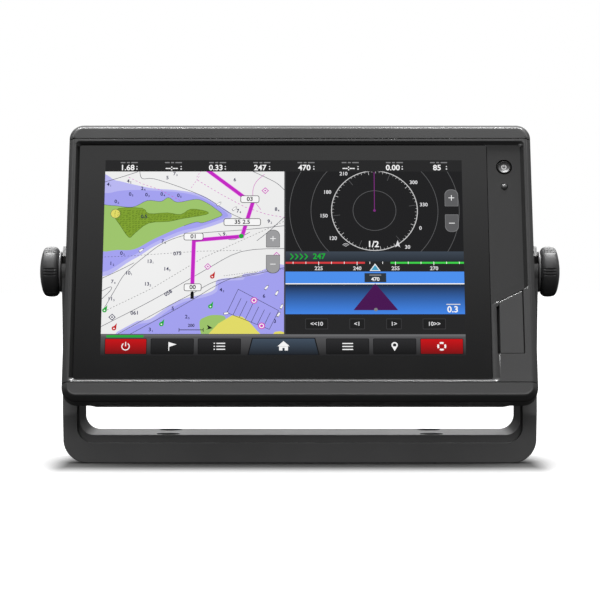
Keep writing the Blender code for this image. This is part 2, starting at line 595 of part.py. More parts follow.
def make_boards():
    plate = block(
        "chassis_plate", (-104 * MM, -8.4 * MM, -58 * MM), (98 * MM, -6.9 * MM, 58 * MM), PLATE_ALUMINIUM,
        corner=3 * MM,
    )
    board = block("main_board", (-95 * MM, -1 * MM, -40 * MM), (95 * MM, 0.6 * MM, 58 * MM), BOARD_GREEN, corner=2 * MM)
    number = 0
    for x in BOARD_SCREW_X:
        for z in BOARD_SCREW_Z:
            number += 1
            centre = (x, 0, z)
            unite(plate, rod(f"standoff_{number}", centre, 3 * MM, -7.5 * MM, -1.2 * MM, "Y", steps=12))
            cut(plate, rod(f"thread_{number}", centre, 1.5 * MM, -20 * MM, 5 * MM, "Y", steps=12))
            cut(board, rod(f"board_hole_{number}", centre, 1.7 * MM, -5 * MM, 5 * MM, "Y", steps=12))
            screw(f"board_screw_{number}", centre, 0.8 * MM, 6 * MM, 2.4 * MM, 1.2 * MM)
    cut(plate, block("ribbon_slot", (-30 * MM, -20 * MM, -52 * MM), (20 * MM, 5 * MM, -45 * MM), corner=2 * MM))
    for n, (x, z, width, height, thick) in enumerate(
        ((-52, 30, 18, 14, 1.6), (-52, 8, 18, 14, 1.6), (50, 34, 16, 16, 2.4), (52, 8, 12, 20, 4), (-10, -32, 46, 8, 3))
    ):
        low = ((x - width / 2) * MM, 0.3 * MM, (z - height / 2) * MM)
        high = ((x + width / 2) * MM, (0.6 + thick) * MM, (z + height / 2) * MM)
        unite(board, block(f"component_{n}", low, high))
    block("processor_shield", (-28 * MM, 0.8 * MM, 4 * MM), (28 * MM, 4.2 * MM, 48 * MM), SHEET_STEEL, corner=1.5 * MM, back=0.6 * MM)
    block("thermal_pad", (-19 * MM, 4.4 * MM, 13 * MM), (19 * MM, 6 * MM, 39 * MM), PAD_GREY)
    rod("backup_cell", (-72 * MM, 0, -18 * MM), 6.2 * MM, 0.8 * MM, 4 * MM, "Y", STAINLESS)
    buzzer = rod("buzzer", (74 * MM, 0, -18 * MM), 6 * MM, 0.8 * MM, 6 * MM, "Y", BLACK_PLASTIC)
    cut(buzzer, rod("buzzer_mouth", (74 * MM, 0, -18 * MM), 1.2 * MM, 3 * MM, 10 * MM, "Y", steps=12))
    block("gps_board", (-16 * MM, 7 * MM, 61 * MM), (16 * MM, 24 * MM, 62.2 * MM), BOARD_GREEN, axis="Z", corner=1 * MM)
    block("gps_patch_antenna", (-8 * MM, 7.5 * MM, 62.4 * MM), (8 * MM, 23.5 * MM, 66.4 * MM), CERAMIC, axis="Z", corner=1 * MM)
    block("display_ribbon", (-23 * MM, -9.2 * MM, -49.5 * MM), (13 * MM, -1.4 * MM, -49.1 * MM), BLACK_PLASTIC, "Z")
    rod("breather_vent", (95 * MM, 0, 20 * MM), 2.5 * MM, HOUSING_REAR - 3 * MM, HOUSING_REAR + 0.2 * MM, "Y", BLACK_PLASTIC, 16)


def screw(name, centre, seat, length, head_radius, shank_radius):
    """A machine screw driven from behind, its round socket open to the rear."""
    socket, depth = head_radius * 0.45, head_radius * 0.4
    top = seat + head_radius * 0.6
    profile = [
        (0, top - depth),
        (socket, top - depth),
        (socket, top),
        (head_radius * 0.9, top),
        (head_radius, seat),
        (shank_radius, seat),
        (shank_radius, seat - length),
        (0, seat - length - shank_radius * 0.5),
    ]
    turned(name, profile, (centre[0], 0, centre[2]), "Y", STAINLESS, 10)


def make_housing_screws():
    number = 0
    for z in SCREW_Z:
        for x in SCREW_X:
            number += 1
            screw(f"housing_screw_{number}", (x, 0, z), SCREW_SEAT + REST, 11 * MM, 2.75 * MM, 1.25 * MM)


def make_sockets():
    """Round bulkhead sockets: a flange on the wall, a barrel outside with pins in it, and a tail inside."""
    seat = SOCKET_WALL + REST
    mouth, floor = seat + 11.5 * MM, seat + 2.5 * MM
    for name, x, radius, pins in SOCKETS:
        flange, tail, bore = radius + 2 * MM, radius - 0.8 * MM, radius - 1.8 * MM
        profile = [
            (0, 9 * MM),
            (tail, 9 * MM),
            (tail, seat),
            (flange, seat),
            (flange, seat + 2 * MM),
            (radius, seat + 2 * MM),
            (radius, mouth - 0.5 * MM),
            (radius - 0.5 * MM, mouth),
            (bore, mouth),
            (bore, floor),
            (0, floor),
        ]
        socket = turned(name, profile, (x, 0, SOCKET_Z), "Y", BLACK_PLASTIC)
        for n in range(pins):
            angle = 2 * math.pi * n / pins + math.pi / 2
            place = (x + bore * 0.55 * math.cos(angle), 0, SOCKET_Z + bore * 0.55 * math.sin(angle))
            unite(socket, rod(f"{name}_pin_{n}", place, 0.6 * MM, floor - 1 * MM, mouth - 5 * MM, "Y", steps=6))


def knob_outline(radius):
    """The grip seen from its end: six groups of three grooves."""
    outline = []
    half = GROOVE_PITCH * 0.3
    for group in range(KNOB_GROUPS):
        middle = 2 * math.pi * group / KNOB_GROUPS
        for groove in range(KNOB_GROOVES):
            angle = middle + (groove - (KNOB_GROOVES - 1) / 2) * GROOVE_PITCH
            for turn, depth in ((-half, 0), (0, GROOVE_DEPTH), (half, 0)):
                reach = radius - depth
                outline.append((reach * math.cos(angle + turn), reach * math.sin(angle + turn)))
        gap_start = middle + GROOVE_PITCH * (KNOB_GROOVES - 1) / 2 + half
        gap_end = middle + 2 * math.pi / KNOB_GROUPS - GROOVE_PITCH * (KNOB_GROOVES - 1) / 2 - half
        outline += arc((0, 0), radius, gap_start, gap_end, 3)[1:-1]
    return outline


def make_knobs():
    for side, word in ((-1, "left"), (1, "right")):
        shape = (  # distance from the inner face, share of the full radius
            (0, 0.9),
            (1.8 * MM, 1),
            (6.5 * MM, 0.985),
            (8.6 * MM, 0.9),
            (9.9 * MM, 0.66),
            (KNOB_THICK, 0.3),
        )
        sections = [(side * (KNOB_INSIDE + along), knob_outline(KNOB_RADIUS * share)) for along, share in shape]
        knob = loft(f"knob_{word}", sections, "X", KNOB_RUBBER)
        ends = sorted((side * (KNOB_INSIDE - 1 * MM), side * (KNOB_INSIDE + 6 * MM + REST)))
        cut(knob, rod(f"{word}_stud_socket", (0, 0, 0), 4.5 * MM + REST, *ends, "X", steps=6))
        ends = sorted((side * STUD_END, side * (KNOB_INSIDE + 1 * MM)))
        stud = rod(f"knob_stud_{word}", (0, 0, 0), STUD_RADIUS, *ends, "X", STAINLESS, 16)
        ends = sorted((side * (KNOB_INSIDE + REST), side * (KNOB_INSIDE + 6 * MM)))
        unite(stud, rod(f"{word}_stud_head", (0, 0, 0), 4.5 * MM, *ends, "X", steps=6))
        low, high = sorted((side * WASHER_INSIDE, side * (WASHER_INSIDE + WASHER_THICK)))
        outer, inner = WASHER_RADIUS, STUD_RADIUS + GAP
        turn = [(inner, low), (outer, low), (outer, high), (inner, high), (inner, low)]
        turned(f"knob_washer_{word}", turn, (0, 0, 0), "X", SEAL_RUBBER)
        low, high = sorted((side * INSERT_BOTTOM, side * (HOUSING_HALF_WIDTH + 0.6 * MM)))
        turn = [(inner, low), (INSERT_RADIUS, low), (INSERT_RADIUS, high), (inner, high), (inner, low)]
        turned(f"pivot_insert_{word}", turn, (0, 0, 0), "X", BRASS)


def bracket_front_outline():
    """The U seen from the front, its arms leaning out a little as they rise."""
    top = PIVOT_HEIGHT + 20 * MM
    lean = ARM_LEAN * top / PIVOT_HEIGHT
    turn = math.pi / 2
    centre = (BASE_HALF_WIDTH - BASE_CORNER, BASE_CORNER)
    outside = [(BASE_HALF_WIDTH + lean, top)] + arc(centre, BASE_CORNER, 0, -turn, 8)
    centre = (ARM_INSIDE - INSIDE_CORNER, BASE_FLOOR + INSIDE_CORNER)
    inside = arc(centre, INSIDE_CORNER, -turn, 0, 6) + [(ARM_INSIDE, top)]
    right = outside
    left = [(-x, z) for x, z in reversed(outside)]
    left_inside = [(-x, z) for x, z in reversed(inside)]
    return right + left + left_inside + inside


def bracket_side_outline():
    """The bracket seen from its side: a wide base, arms that narrow as they rise, and the hook at the top."""
    base = [(BASE_FRONT, -1 * MM), (BASE_REAR, -1 * MM), (BASE_REAR, FLARE_LOW)]
    steps = 8
    heights = [FLARE_LOW + (FLARE_HIGH - FLARE_LOW) * n / steps for n in range(1, steps + 1)]

    def flare(edge, base_edge, z):
        rest = 1 - (z - FLARE_LOW) / (FLARE_HIGH - FLARE_LOW)
        return edge + (base_edge - edge) * rest**2

    rear = [(flare(ARM_REAR, BASE_REAR, z), z) for z in heights]
    front = [(flare(ARM_FRONT, BASE_FRONT, z), z) for z in reversed(heights)]
    ear_centre = ARM_REAR - EAR_RADIUS
    reach = ear_centre * math.sqrt(2)
    tangent = math.pi / 4 + math.acos((HOOK_RADIUS - EAR_RADIUS) / reach)
    ear = arc((ear_centre, PIVOT_HEIGHT + ear_centre), EAR_RADIUS, 0, tangent, 8)
    front_angle = math.pi + math.acos(-ARM_FRONT / HOOK_RADIUS)
    hook = arc((0, PIVOT_HEIGHT), HOOK_RADIUS, tangent, front_angle, 8)
    return base + rear + ear + hook + front + [(BASE_FRONT, FLARE_LOW)]


def ledge_outline():
    """The wider opening that steps the bracket's front and rear edges back."""
    half, corner, top = ARM_INSIDE + LEDGE_STEP, INSIDE_CORNER + LEDGE_STEP, PIVOT_HEIGHT + 40 * MM
    right = arc((half - corner, LEDGE_FLOOR + corner), corner, -math.pi / 2, 0, 6) + [(half, top)]
    return right + [(-x, z) for x, z in reversed(right)]


def make_bracket():
    bracket = slab("bail_bracket", (bracket_front_outline(),), BASE_FRONT, BASE_REAR, "Y", BRACKET_PLASTIC)
    reach = BASE_HALF_WIDTH + 10 * MM
    trim_to(bracket, slab("bracket_side", (bracket_side_outline(),), -reach, reach, "X"))
    for word, low, high in (
        ("front", BASE_FRONT - 2 * MM, BASE_FRONT + LEDGE_DEPTH),
        ("rear", BASE_REAR - LEDGE_DEPTH, BASE_REAR + 2 * MM),
    ):
        cut(bracket, slab(f"{word}_ledge", (ledge_outline(),), low, high, "Y"))
    direction = (math.cos(SLOT_RISE), math.sin(SLOT_RISE))
    side = (-direction[1], direction[0])
    half, length = SLOT_WIDTH / 2, 25 * MM
    mouth = [
        (length * direction[0] + sign * half * side[0], PIVOT_HEIGHT + length * direction[1] + sign * half * side[1])
        for sign in (1, -1)
    ]
    slot = mouth[:1] + arc((0, PIVOT_HEIGHT), half, SLOT_RISE + math.pi / 2, SLOT_RISE + math.pi * 1.5, 8) + mouth[1:]
    cut(bracket, slab("stud_slots", (slot,), -reach, reach, "X"))
    cells = bmesh.new()
    for low, high in RIB_CELLS:
        for side in (-1, 1):
            for front, rear in RIB_ROWS:
                size = Vector((high - low, rear - front, 14)) * MM
                centre = Vector((side * (high + low) / 2, (front + rear) / 2, 4.9)) * MM
                box = bmesh.ops.create_cube(cells, size=1)["verts"]
                bmesh.ops.scale(cells, vec=size, verts=box)
                bmesh.ops.translate(cells, vec=centre, verts=box)
    cut(bracket, keep("rib_cells", cells, None))
    for x in (-BASE_HOLE_X, BASE_HOLE_X):
        for y in BASE_HOLES_Y:
            tag = f"{x / MM:.0f}_{y / MM:.0f}"
            seat = BASE_FLOOR - HEAD_RECESS_DEPTH
            cut(
                bracket,
                rod("base_hole_" + tag, (x, y, 0), BASE_HOLE_RADIUS, -5 * MM, 30 * MM, "Z", steps=16),
                rod("head_recess_" + tag, (x, y, 0), HEAD_RECESS_RADIUS, seat, 30 * MM, "Z"),
            )


def lean_display():
    """Parents everything but the bracket and its cutters to the leaning pivot."""
    bracket = bpy.data.objects["bail_bracket"]
    fixed = {bracket} | {step.object for step in bracket.modifiers if step.type == "BOOLEAN"}
    pivot = bpy.data.objects.new("display_pivot", None)
    PARTS.objects.link(pivot)
    pivot.location = (0, 0, PIVOT_HEIGHT)
    pivot.rotation_euler = (-LEAN, 0, 0)
    for piece in list(PARTS.objects) + list(CUTTERS.objects):
        if piece not in fixed and piece is not pivot:
            piece.parent = pivot


make_bracket()
make_bezel()
make_trims()
make_screen()
make_controls()
make_card_door()
make_card_reader()
make_housing()
make_heat_sink()
make_boards()
make_housing_screws()
make_sockets()
make_knobs()
lean_display()
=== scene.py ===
"""The looks of a nine-inch marine chartplotter on its bail bracket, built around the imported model."""

import json
import math

import bmesh
import bpy
from mathutils import Matrix, Vector

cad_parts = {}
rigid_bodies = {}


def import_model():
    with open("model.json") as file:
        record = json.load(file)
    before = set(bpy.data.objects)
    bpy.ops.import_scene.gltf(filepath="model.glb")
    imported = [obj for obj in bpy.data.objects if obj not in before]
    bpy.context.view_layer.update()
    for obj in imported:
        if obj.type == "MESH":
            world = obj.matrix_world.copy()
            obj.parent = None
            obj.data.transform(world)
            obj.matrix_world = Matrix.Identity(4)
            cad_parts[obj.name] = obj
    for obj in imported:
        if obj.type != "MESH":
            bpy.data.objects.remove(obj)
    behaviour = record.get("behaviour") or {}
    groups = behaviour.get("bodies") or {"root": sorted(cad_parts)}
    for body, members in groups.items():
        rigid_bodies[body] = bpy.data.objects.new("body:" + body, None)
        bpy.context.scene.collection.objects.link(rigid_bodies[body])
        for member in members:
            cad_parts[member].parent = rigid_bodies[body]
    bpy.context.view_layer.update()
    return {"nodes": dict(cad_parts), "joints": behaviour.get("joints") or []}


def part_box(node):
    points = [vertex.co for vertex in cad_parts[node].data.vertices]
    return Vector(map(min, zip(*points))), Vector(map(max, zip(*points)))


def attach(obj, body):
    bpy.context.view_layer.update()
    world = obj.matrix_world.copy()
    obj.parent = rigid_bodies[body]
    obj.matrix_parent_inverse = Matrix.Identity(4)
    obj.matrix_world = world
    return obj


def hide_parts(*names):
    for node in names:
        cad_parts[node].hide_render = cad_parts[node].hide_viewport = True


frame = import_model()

MM = 0.001

# ---------------------------------------------------------------- places, read from the frame
JOINTS = {joint["name"]: joint for joint in frame["joints"]}
PIVOT = Vector(JOINTS["display_tilt"]["pos_m"])
DISPLAY_UP = Vector(JOINTS["card_door_hinge"]["axis"])
LEAN = math.atan2(DISPLAY_UP.y, DISPLAY_UP.z)
LEANED = Matrix.Translation(PIVOT) @ Matrix.Rotation(-LEAN, 4, "X")


def leaned_box(node):
    """A CAD node's box in the display's own frame, in millimetres: X to the right, Y into the case, Z up."""
    back = LEANED.inverted()
    points = [back @ v.co for v in frame["nodes"][node].data.vertices]
    low = Vector(min(p[i] for p in points) for i in range(3)) / MM
    high = Vector(max(p[i] for p in points) for i in range(3)) / MM
    return low, high


BEZEL_LOW, BEZEL_HIGH = leaned_box("front_bezel")
TOP_LOW, TOP_HIGH = leaned_box("top_trim")
BOTTOM_LOW, BOTTOM_HIGH = leaned_box("bottom_trim")
GLASS_LOW, GLASS_HIGH = leaned_box("cover_glass")
DOOR_LOW, DOOR_HIGH = leaned_box("card_door")

FACE = TOP_LOW.y
BACK = BEZEL_HIGH.y
FLOOR = GLASS_LOW.y
GLASS_LEFT = GLASS_LOW.x - 1.8
HALF_WIDTH, HALF_HEIGHT = TOP_HIGH.x, TOP_HIGH.z
FACE_CORNER, FACE_CHAMFER = 8.0, 2.7
TRIM_WALL, TRIM_THICK, GAP = 1.5, 3.0, 0.3
LAND_LEFT, LAND_FLOOR_LEFT, LAND_SLOPE, LAND_TOP = 107.5, 104.0, 0.507, -24.7

# ---------------------------------------------------------------- materials


def srgb(level):
    """Linear value of a 0 to 255 screen level."""
    level /= 255
    return level / 12.92 if level <= 0.04045 else ((level + 0.055) / 1.055) ** 2.4


def linear(*levels):
    return tuple(srgb(level) for level in levels)


def nodes_of(name):
    made = bpy.data.materials.new(name)
    made.use_nodes = True
    return made, made.node_tree, made.node_tree.nodes["Principled BSDF"]

def feed(tree, node, values):
    """Sets a node's inputs, each to a constant or to another node's output."""
    for key, value in values.items():
        if isinstance(value, bpy.types.NodeSocket):
            tree.links.new(value, node.inputs[key])
        else:
            node.inputs[key].default_value = value
    return node

def added(tree, kind, values=(), operation=None):
    node = tree.nodes.new("ShaderNode" + kind)
    if operation:
        node.operation = operation
    return feed(tree, node, dict(values))


def noise_at(tree, scale, detail=2.0, stretch=(1, 1, 1)):
    """Noise that stays with the piece, in cycles per metre."""
    mapping = added(tree, "Mapping", {"Scale": stretch, "Vector": added(tree, "TexCoord").outputs["Object"]})
    noise = added(tree, "TexNoise", {"Scale": scale, "Detail": detail, "Vector": mapping.outputs["Vector"]})
    return noise.outputs["Fac"]


def spread(tree, value, low, high, start=0.3, end=0.7):
    """Maps a value onto a range; the usual start and end suit noise."""
    ends = {"From Min": start, "From Max": end, "To Min": low, "To Max": high}
    return added(tree, "MapRange", {"Value": value, **ends}).outputs["Result"]


def mixed(tree, share, first, second):
    """A colour between two, each a constant or another node's output."""
    step = tree.nodes.new("ShaderNodeMix")
    step.data_type = "RGBA"
    colours = [c if isinstance(c, bpy.types.NodeSocket) else (*c, 1) for c in (first, second)]
    return feed(tree, step, {"Factor": share, 6: colours[0], 7: colours[1]}).outputs[2]

def bumped(tree, height, depth):
    """A normal from a height, to a depth in millimetres."""
    return added(tree, "Bump", {"Strength": 1.0, "Distance": depth * MM, "Height": height}).outputs["Normal"]


def moulded(name, colour, roughness, grain=5200, depth=0.012, vary=0.1, metallic=0.0, coat=0.0, gloss=0.5):
    """Moulded plastic, rubber or cast metal: a fine grain, and slow changes in tone and gloss."""
    made, tree, shader = nodes_of(name)
    slow, fine = noise_at(tree, 28, 3), noise_at(tree, grain, 2)
    tone = added(tree, "Math", {0: fine, 1: 0.45, 2: slow}, "MULTIPLY_ADD").outputs[0]
    light = tuple(min(1, c * (1 + vary)) for c in colour)
    dark = tuple(c * (1 - vary) for c in colour)
    looks = {"Metallic": metallic, "Specular IOR Level": gloss, "Coat Weight": coat, "Coat Roughness": 0.12}
    looks["Base Color"] = mixed(tree, spread(tree, tone, 0, 1, 0.45, 1.0), dark, light)
    looks["Roughness"] = spread(tree, slow, roughness - 0.05, roughness + 0.05)
    looks["Normal"] = bumped(tree, fine, depth)
    feed(tree, shader, looks)
    return made


def paint_inner_shade(material, tone):
    """Painted shade: makes the surfaces that face the middle of the object darker and less glossy, by how squarely they
    face it.
    """
    tree = material.node_tree
    shader = tree.nodes["Principled BSDF"]
    geometry = added(tree, "NewGeometry").outputs
    sides = [added(tree, "SeparateXYZ", {0: geometry[name]}).outputs["X"] for name in ("Normal", "Position")]
    facing = added(tree, "Math", {0: sides[0], 1: sides[1]}, "MULTIPLY").outputs[0]
    share = spread(tree, facing, 0, 1, -0.004, -0.075)
    plain = shader.inputs["Base Color"].links[0].from_socket
    shade = mixed(tree, share, plain, (tone, tone, tone))
    feed(tree, shader, {"Base Color": shade, "Specular IOR Level": spread(tree, share, 0.5, 0.12, 0, 1)})


def brushed(name, colour, roughness, stretch=(1, 1, 14)):
    """Metal with fine lines along one direction."""
    made, tree, shader = nodes_of(name)
    lines = noise_at(tree, 900, 4, stretch)
    light = tuple(min(1, c * 1.08) for c in colour)
    dark = tuple(c * 0.86 for c in colour)
    looks = {"Metallic": 1.0, "Base Color": mixed(tree, spread(tree, lines, 0, 1), dark, light)}
    looks["Roughness"] = spread(tree, lines, roughness - 0.07, roughness + 0.09)
    feed(tree, shader, {**looks, "Normal": bumped(tree, lines, 0.004)})
    return made


def lit(name, colour, low_colour=None, top=0.0, bottom=1.0, strength=1.0):
    """A patch of the picture: it glows, and may shade from its top to its bottom edge."""
    made, tree, shader = nodes_of(name)
    if low_colour:
        where = added(tree, "TexCoord").outputs["Object"]
        height = added(tree, "SeparateXYZ", {"Vector": where}).outputs["Z"]
        ends = [(LEANED @ Vector((0, FLOOR * MM, (PICTURE_TOP - v) * MM))).z for v in (bottom, top)]
        blend = mixed(tree, spread(tree, height, 1, 0, *ends), colour, low_colour)
    else:
        dim = tuple(c * 0.96 for c in colour)
        blend = mixed(tree, spread(tree, noise_at(tree, 11, 1), 0, 1), dim, colour)
    looks = {"Base Color": (0.004, 0.004, 0.004, 1), "Roughness": 0.12, "Specular IOR Level": 0.06}
    feed(tree, shader, {**looks, "Emission Color": blend, "Emission Strength": strength})
    return made


PICTURE_LOW, PICTURE_HIGH = leaned_box("lcd_panel")
PICTURE_LEFT, PICTURE_TOP = PICTURE_LOW.x + 3, PICTURE_HIGH.z - 3

CASE = moulded("case_plastic", (0.028, 0.028, 0.0284), 0.46, depth=0.005, coat=0.42, gloss=0.25)
COLUMN = moulded("column_plastic", (0.015, 0.015, 0.0152), 0.44, gloss=0.25)
BRACKET = moulded("bracket_plastic", (0.1, 0.1, 0.101), 0.5, grain=4200, depth=0.016)
# painted shade on the inner faces of the bracket's arms and base
paint_inner_shade(BRACKET, 0.012)
REAR = moulded("rear_plastic", (0.06, 0.06, 0.061), 0.55, grain=3000, depth=0.03)
GRIP = moulded("grip_rubber", (0.036, 0.036, 0.037), 0.5, grain=3600, depth=0.02)
BLACK = moulded("black_plastic", (0.018, 0.018, 0.018), 0.42, grain=4000)
SEAL = moulded("seal_rubber", (0.014, 0.014, 0.014), 0.75, grain=2500, depth=0.02)
WASHER = moulded("washer_nylon", (0.12, 0.12, 0.122), 0.45, grain=2500, depth=0.01)
SINK = moulded("anodised_black", (0.035, 0.035, 0.037), 0.38, grain=6000, depth=0.01, metallic=0.5)
KEY = moulded("key_satin", (0.1, 0.1, 0.102), 0.45, grain=6000, depth=0.004, metallic=0.5)
# painted shade: a near-black finish for the recess's side walls, standing in for the shadow they lie in
WALL_SHADE = moulded("recess_wall_painted_shade", (0.006, 0.006, 0.006), 0.6, gloss=0.12)
KEY_RIM = moulded("key_rim", (0.012, 0.012, 0.012), 0.5, gloss=0.2)
LENS = moulded("sensor_lens", (0.05, 0.05, 0.052), 0.3, grain=900, depth=0.001)
BOARD = moulded("solder_mask", (0.01, 0.085, 0.035), 0.4, grain=1200, depth=0.02, vary=0.25)
PAD = moulded("thermal_gel", (0.35, 0.42, 0.5), 0.8, grain=1500, depth=0.03)
CERAMIC = moulded("ceramic", (0.62, 0.55, 0.42), 0.55, grain=2400, depth=0.01)
STEEL = brushed("stainless", (0.62, 0.61, 0.59), 0.3)
SHEET = brushed("sheet_metal", (0.6, 0.61, 0.62), 0.36, stretch=(14, 1, 1))
BRASS = brushed("brass", (0.74, 0.55, 0.27), 0.32)
GOLD = brushed("gold_contacts", (0.9, 0.66, 0.3), 0.25)


def glass_material():
    """Black-backed cover glass: a hard gloss with the faintest cloudiness."""
    made, tree, shader = nodes_of("cover_glass")
    cloud = noise_at(tree, 16, 3)
    shade = mixed(tree, spread(tree, cloud, 0, 1), (0.0026, 0.0026, 0.0028), (0.0034, 0.0034, 0.0036))
    looks = {"Base Color": shade, "Roughness": spread(tree, cloud, 0.05, 0.075)}
    feed(tree, shader, {**looks, "Specular IOR Level": 0.5, "IOR": 1.5})
    return made


GLASS = glass_material()

# ---------------------------------------------------------------- shapes


def place(piece, material, body, replaces=()):
    """Gives a finished piece its material, its body and the CAD nodes it stands for."""
    piece.data.materials.clear()
    piece.data.materials.append(material)
    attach(piece, body)
    if replaces:
        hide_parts(*replaces)
    return piece


def held(name, bm, leaned=True):
    """An object in the scene from mesh work in millimetres; display pieces come in the display's own frame."""
    bmesh.ops.recalc_face_normals(bm, faces=bm.faces)
    bmesh.ops.scale(bm, vec=(MM, MM, MM), verts=bm.verts)
    if leaned:
        bmesh.ops.transform(bm, matrix=LEANED, verts=bm.verts)
    mesh = bpy.data.meshes.new(name)
    bm.to_mesh(mesh)
    bm.free()
    made = bpy.data.objects.new(name, mesh)
    bpy.context.scene.collection.objects.link(made)
    return made


def settle(piece):
    """Applies a piece's modifiers."""
    bpy.context.view_layer.update()
    graph = bpy.context.evaluated_depsgraph_get()
    mesh = bpy.data.meshes.new_from_object(piece.evaluated_get(graph))
    old = piece.data
    piece.modifiers.clear()
    piece.data = mesh
    bpy.data.meshes.remove(old)
    return piece


def carve(piece, tools, operation="DIFFERENCE"):
    """Cuts the tools from the piece, or joins them to it, and removes them."""
    for tool in tools:
        step = piece.modifiers.new(tool.name, "BOOLEAN")
        step.operation = operation
        step.object = tool
        step.solver = "EXACT"
    settle(piece)
    for tool in tools:
        mesh = tool.data
        bpy.data.objects.remove(tool)
        bpy.data.meshes.remove(mesh)
    return piece


def soften(piece, width=0.15, segments=2, angle=38, smooth=32):
    """Rounds the sharp edges a little, and shades the rest smooth."""
    bm = bmesh.new()
    bm.from_mesh(piece.data)
    bmesh.ops.remove_doubles(bm, verts=bm.verts, dist=2e-6)
    bmesh.ops.dissolve_degenerate(bm, edges=bm.edges, dist=4e-6)
    bm.to_mesh(piece.data)
    bm.free()
    if width:
        bevel = piece.modifiers.new("edges", "BEVEL")
        bevel.width = width * MM
        bevel.segments = segments
        bevel.limit_method = "ANGLE"
        bevel.angle_limit = math.radians(angle)
        bevel.use_clamp_overlap = True
        settle(piece)
    piece.data.shade_smooth()
    piece.data.set_sharp_from_angle(angle=math.radians(smooth))
    weighted = piece.modifiers.new("normals", "WEIGHTED_NORMAL")
    weighted.keep_sharp = True
    weighted.weight = 100
    return settle(piece)


def rounded(points, radii, steps):
    """A closed outline with its corners rounded. Radii is one number, or one for each corner."""
    made = []
    count = len(points)
    for i, here in enumerate(points):
        radius = radii[i] if isinstance(radii, (list, tuple)) else radii
        here = Vector(here)
        before, after = Vector(points[i - 1]) - here, Vector(points[(i + 1) % count]) - here
        a, b = before.normalized(), after.normalized()
        half = a.angle(b) / 2
        reach = min(radius / math.tan(half), 0.49 * min(before.length, after.length))
        radius = reach * math.tan(half)
        start, end = here + a * reach, here + b * reach
        centre = here + (a + b).normalized() * (radius / math.sin(half))
        first, last = start - centre, end - centre
        turn = math.pi - 2 * half
        sign = 1 if first.x * last.y - first.y * last.x > 0 else -1
        for n in range(steps + 1):
            angle = sign * turn * n / steps
            c, s = math.cos(angle), math.sin(angle)
            made.append(centre + Vector((first.x * c - first.y * s, first.x * s + first.y * c)))
    return [tuple(p) for p in made]


def rounded_path(points, radius, steps=4):
    """An open path with its inner corners rounded."""
    made = [Vector(points[0])]
    for before, here, after in zip(points, points[1:], points[2:]):
        here = Vector(here)
        a, b = (Vector(before) - here), (Vector(after) - here)
        reach = min(radius * 0.5, 0.45 * a.length, 0.45 * b.length)
        start, end = here + a.normalized() * reach, here + b.normalized() * reach
        for n in range(steps + 1):
            t = n / steps
            made.append(start * (1 - t) ** 2 + here * 2 * t * (1 - t) + end * t**2)
    made.append(Vector(points[-1]))
    return [tuple(p) for p in made]


def grown(points, distance):
    """A closed outline, anticlockwise, moved outwards."""
    made = []
    count = len(points)
    for i in range(count):
        a, b, c = Vector(points[i - 1]), Vector(points[i]), Vector(points[(i + 1) % count])
        u, v = (b - a).normalized(), (c - b).normalized()
        n1, n2 = Vector((u.y, -u.x)), Vector((v.y, -v.x))
        middle = n1 + n2
        made.append(tuple(b + middle * (distance / max(0.2, 1 + n1.dot(n2)))))
    return made


def rectangle(left, low, right, high):
    return [(left, low), (right, low), (right, high), (left, high)]


AXES = {
    "X": lambda u, v, w: (w, u, v),
    "Y": lambda u, v, w: (u, w, v),
    "Z": lambda u, v, w: (u, v, w),
}


def loft(name, rings, axis="Y", leaned=True):
    """A skin through rings, each (place along the axis, outline), with flat ends."""
    bm = bmesh.new()
    at = AXES[axis]
    made = [[bm.verts.new(at(u, v, w)) for u, v in outline] for w, outline in rings]
    for near, far in zip(made, made[1:]):
        for i in range(len(near)):
            bm.faces.new((near[i - 1], near[i], far[i], far[i - 1]))
    bm.faces.new(made[0])
    bm.faces.new(made[-1])
    return held(name, bm, leaned)


def prism(name, outline, low, high, axis="Y", leaned=True):
    return loft(name, ((low, outline), (high, outline)), axis, leaned)


def box(name, low, high, leaned=True):
    return prism(name, rectangle(low[0], low[2], high[0], high[2]), low[1], high[1], "Y", leaned)


def spun(name, profile, centre, axis="Y", leaned=True, steps=64, teeth=None):
    """A profile of (radius, place along the axis) turned about the axis; radius 0 closes an end."""
    bm = bmesh.new()
    at = AXES[axis]
    cu, cv = centre
    rings = []
    for radius, along in profile:
        if radius <= 0:
            rings.append([bm.verts.new(at(cu, cv, along))])
            continue
        ring = []
        for n in range(steps):
            a = 2 * math.pi * n / steps
            r = radius * (teeth(a, along) if teeth else 1)
            ring.append(bm.verts.new(at(cu + r * math.cos(a), cv + r * math.sin(a), along)))
        rings.append(ring)
    for near, far in zip(rings, rings[1:]):
        for i in range(steps):
            if len(near) == 1:
                bm.faces.new((near[0], far[i], far[i - 1]))
            elif len(far) == 1:
                bm.faces.new((near[i - 1], near[i], far[0]))
            else:
                bm.faces.new((near[i - 1], near[i], far[i], far[i - 1]))
    if len(rings[0]) > 1 and len(rings[-1]) > 1:
        if profile[0] == profile[-1]:
            bmesh.ops.remove_doubles(bm, verts=bm.verts, dist=1e-5)
        else:
            bm.faces.new(rings[0])
            bm.faces.new(rings[-1])
    return held(name, bm, leaned)


def land_edge(x):
    """Height of the raised land's slanted top edge."""
    return LAND_TOP + LAND_SLOPE * (x - LAND_LEFT)


# ---------------------------------------------------------------- bezel and trims


def face_outline(inset):
    half_width, half_height = HALF_WIDTH - inset, HALF_HEIGHT - inset
    corner = max(0.6, FACE_CORNER - inset)
    return rounded(rectangle(-half_width, -half_height, half_width, half_height), corner, 12)


def whole_face(name):
    """The full front shell, with a soft chamfer round its front."""
    path = [(0.5, BACK), (0, BACK - 0.5), (0, FACE + FACE_CHAMFER), (FACE_CHAMFER, FACE), (FACE_CHAMFER + 2, FACE)]
    path = path[:2] + rounded_path(path[1:], 2.0, 5)[1:]
    return loft(name, [(y, face_outline(inset)) for inset, y in path])


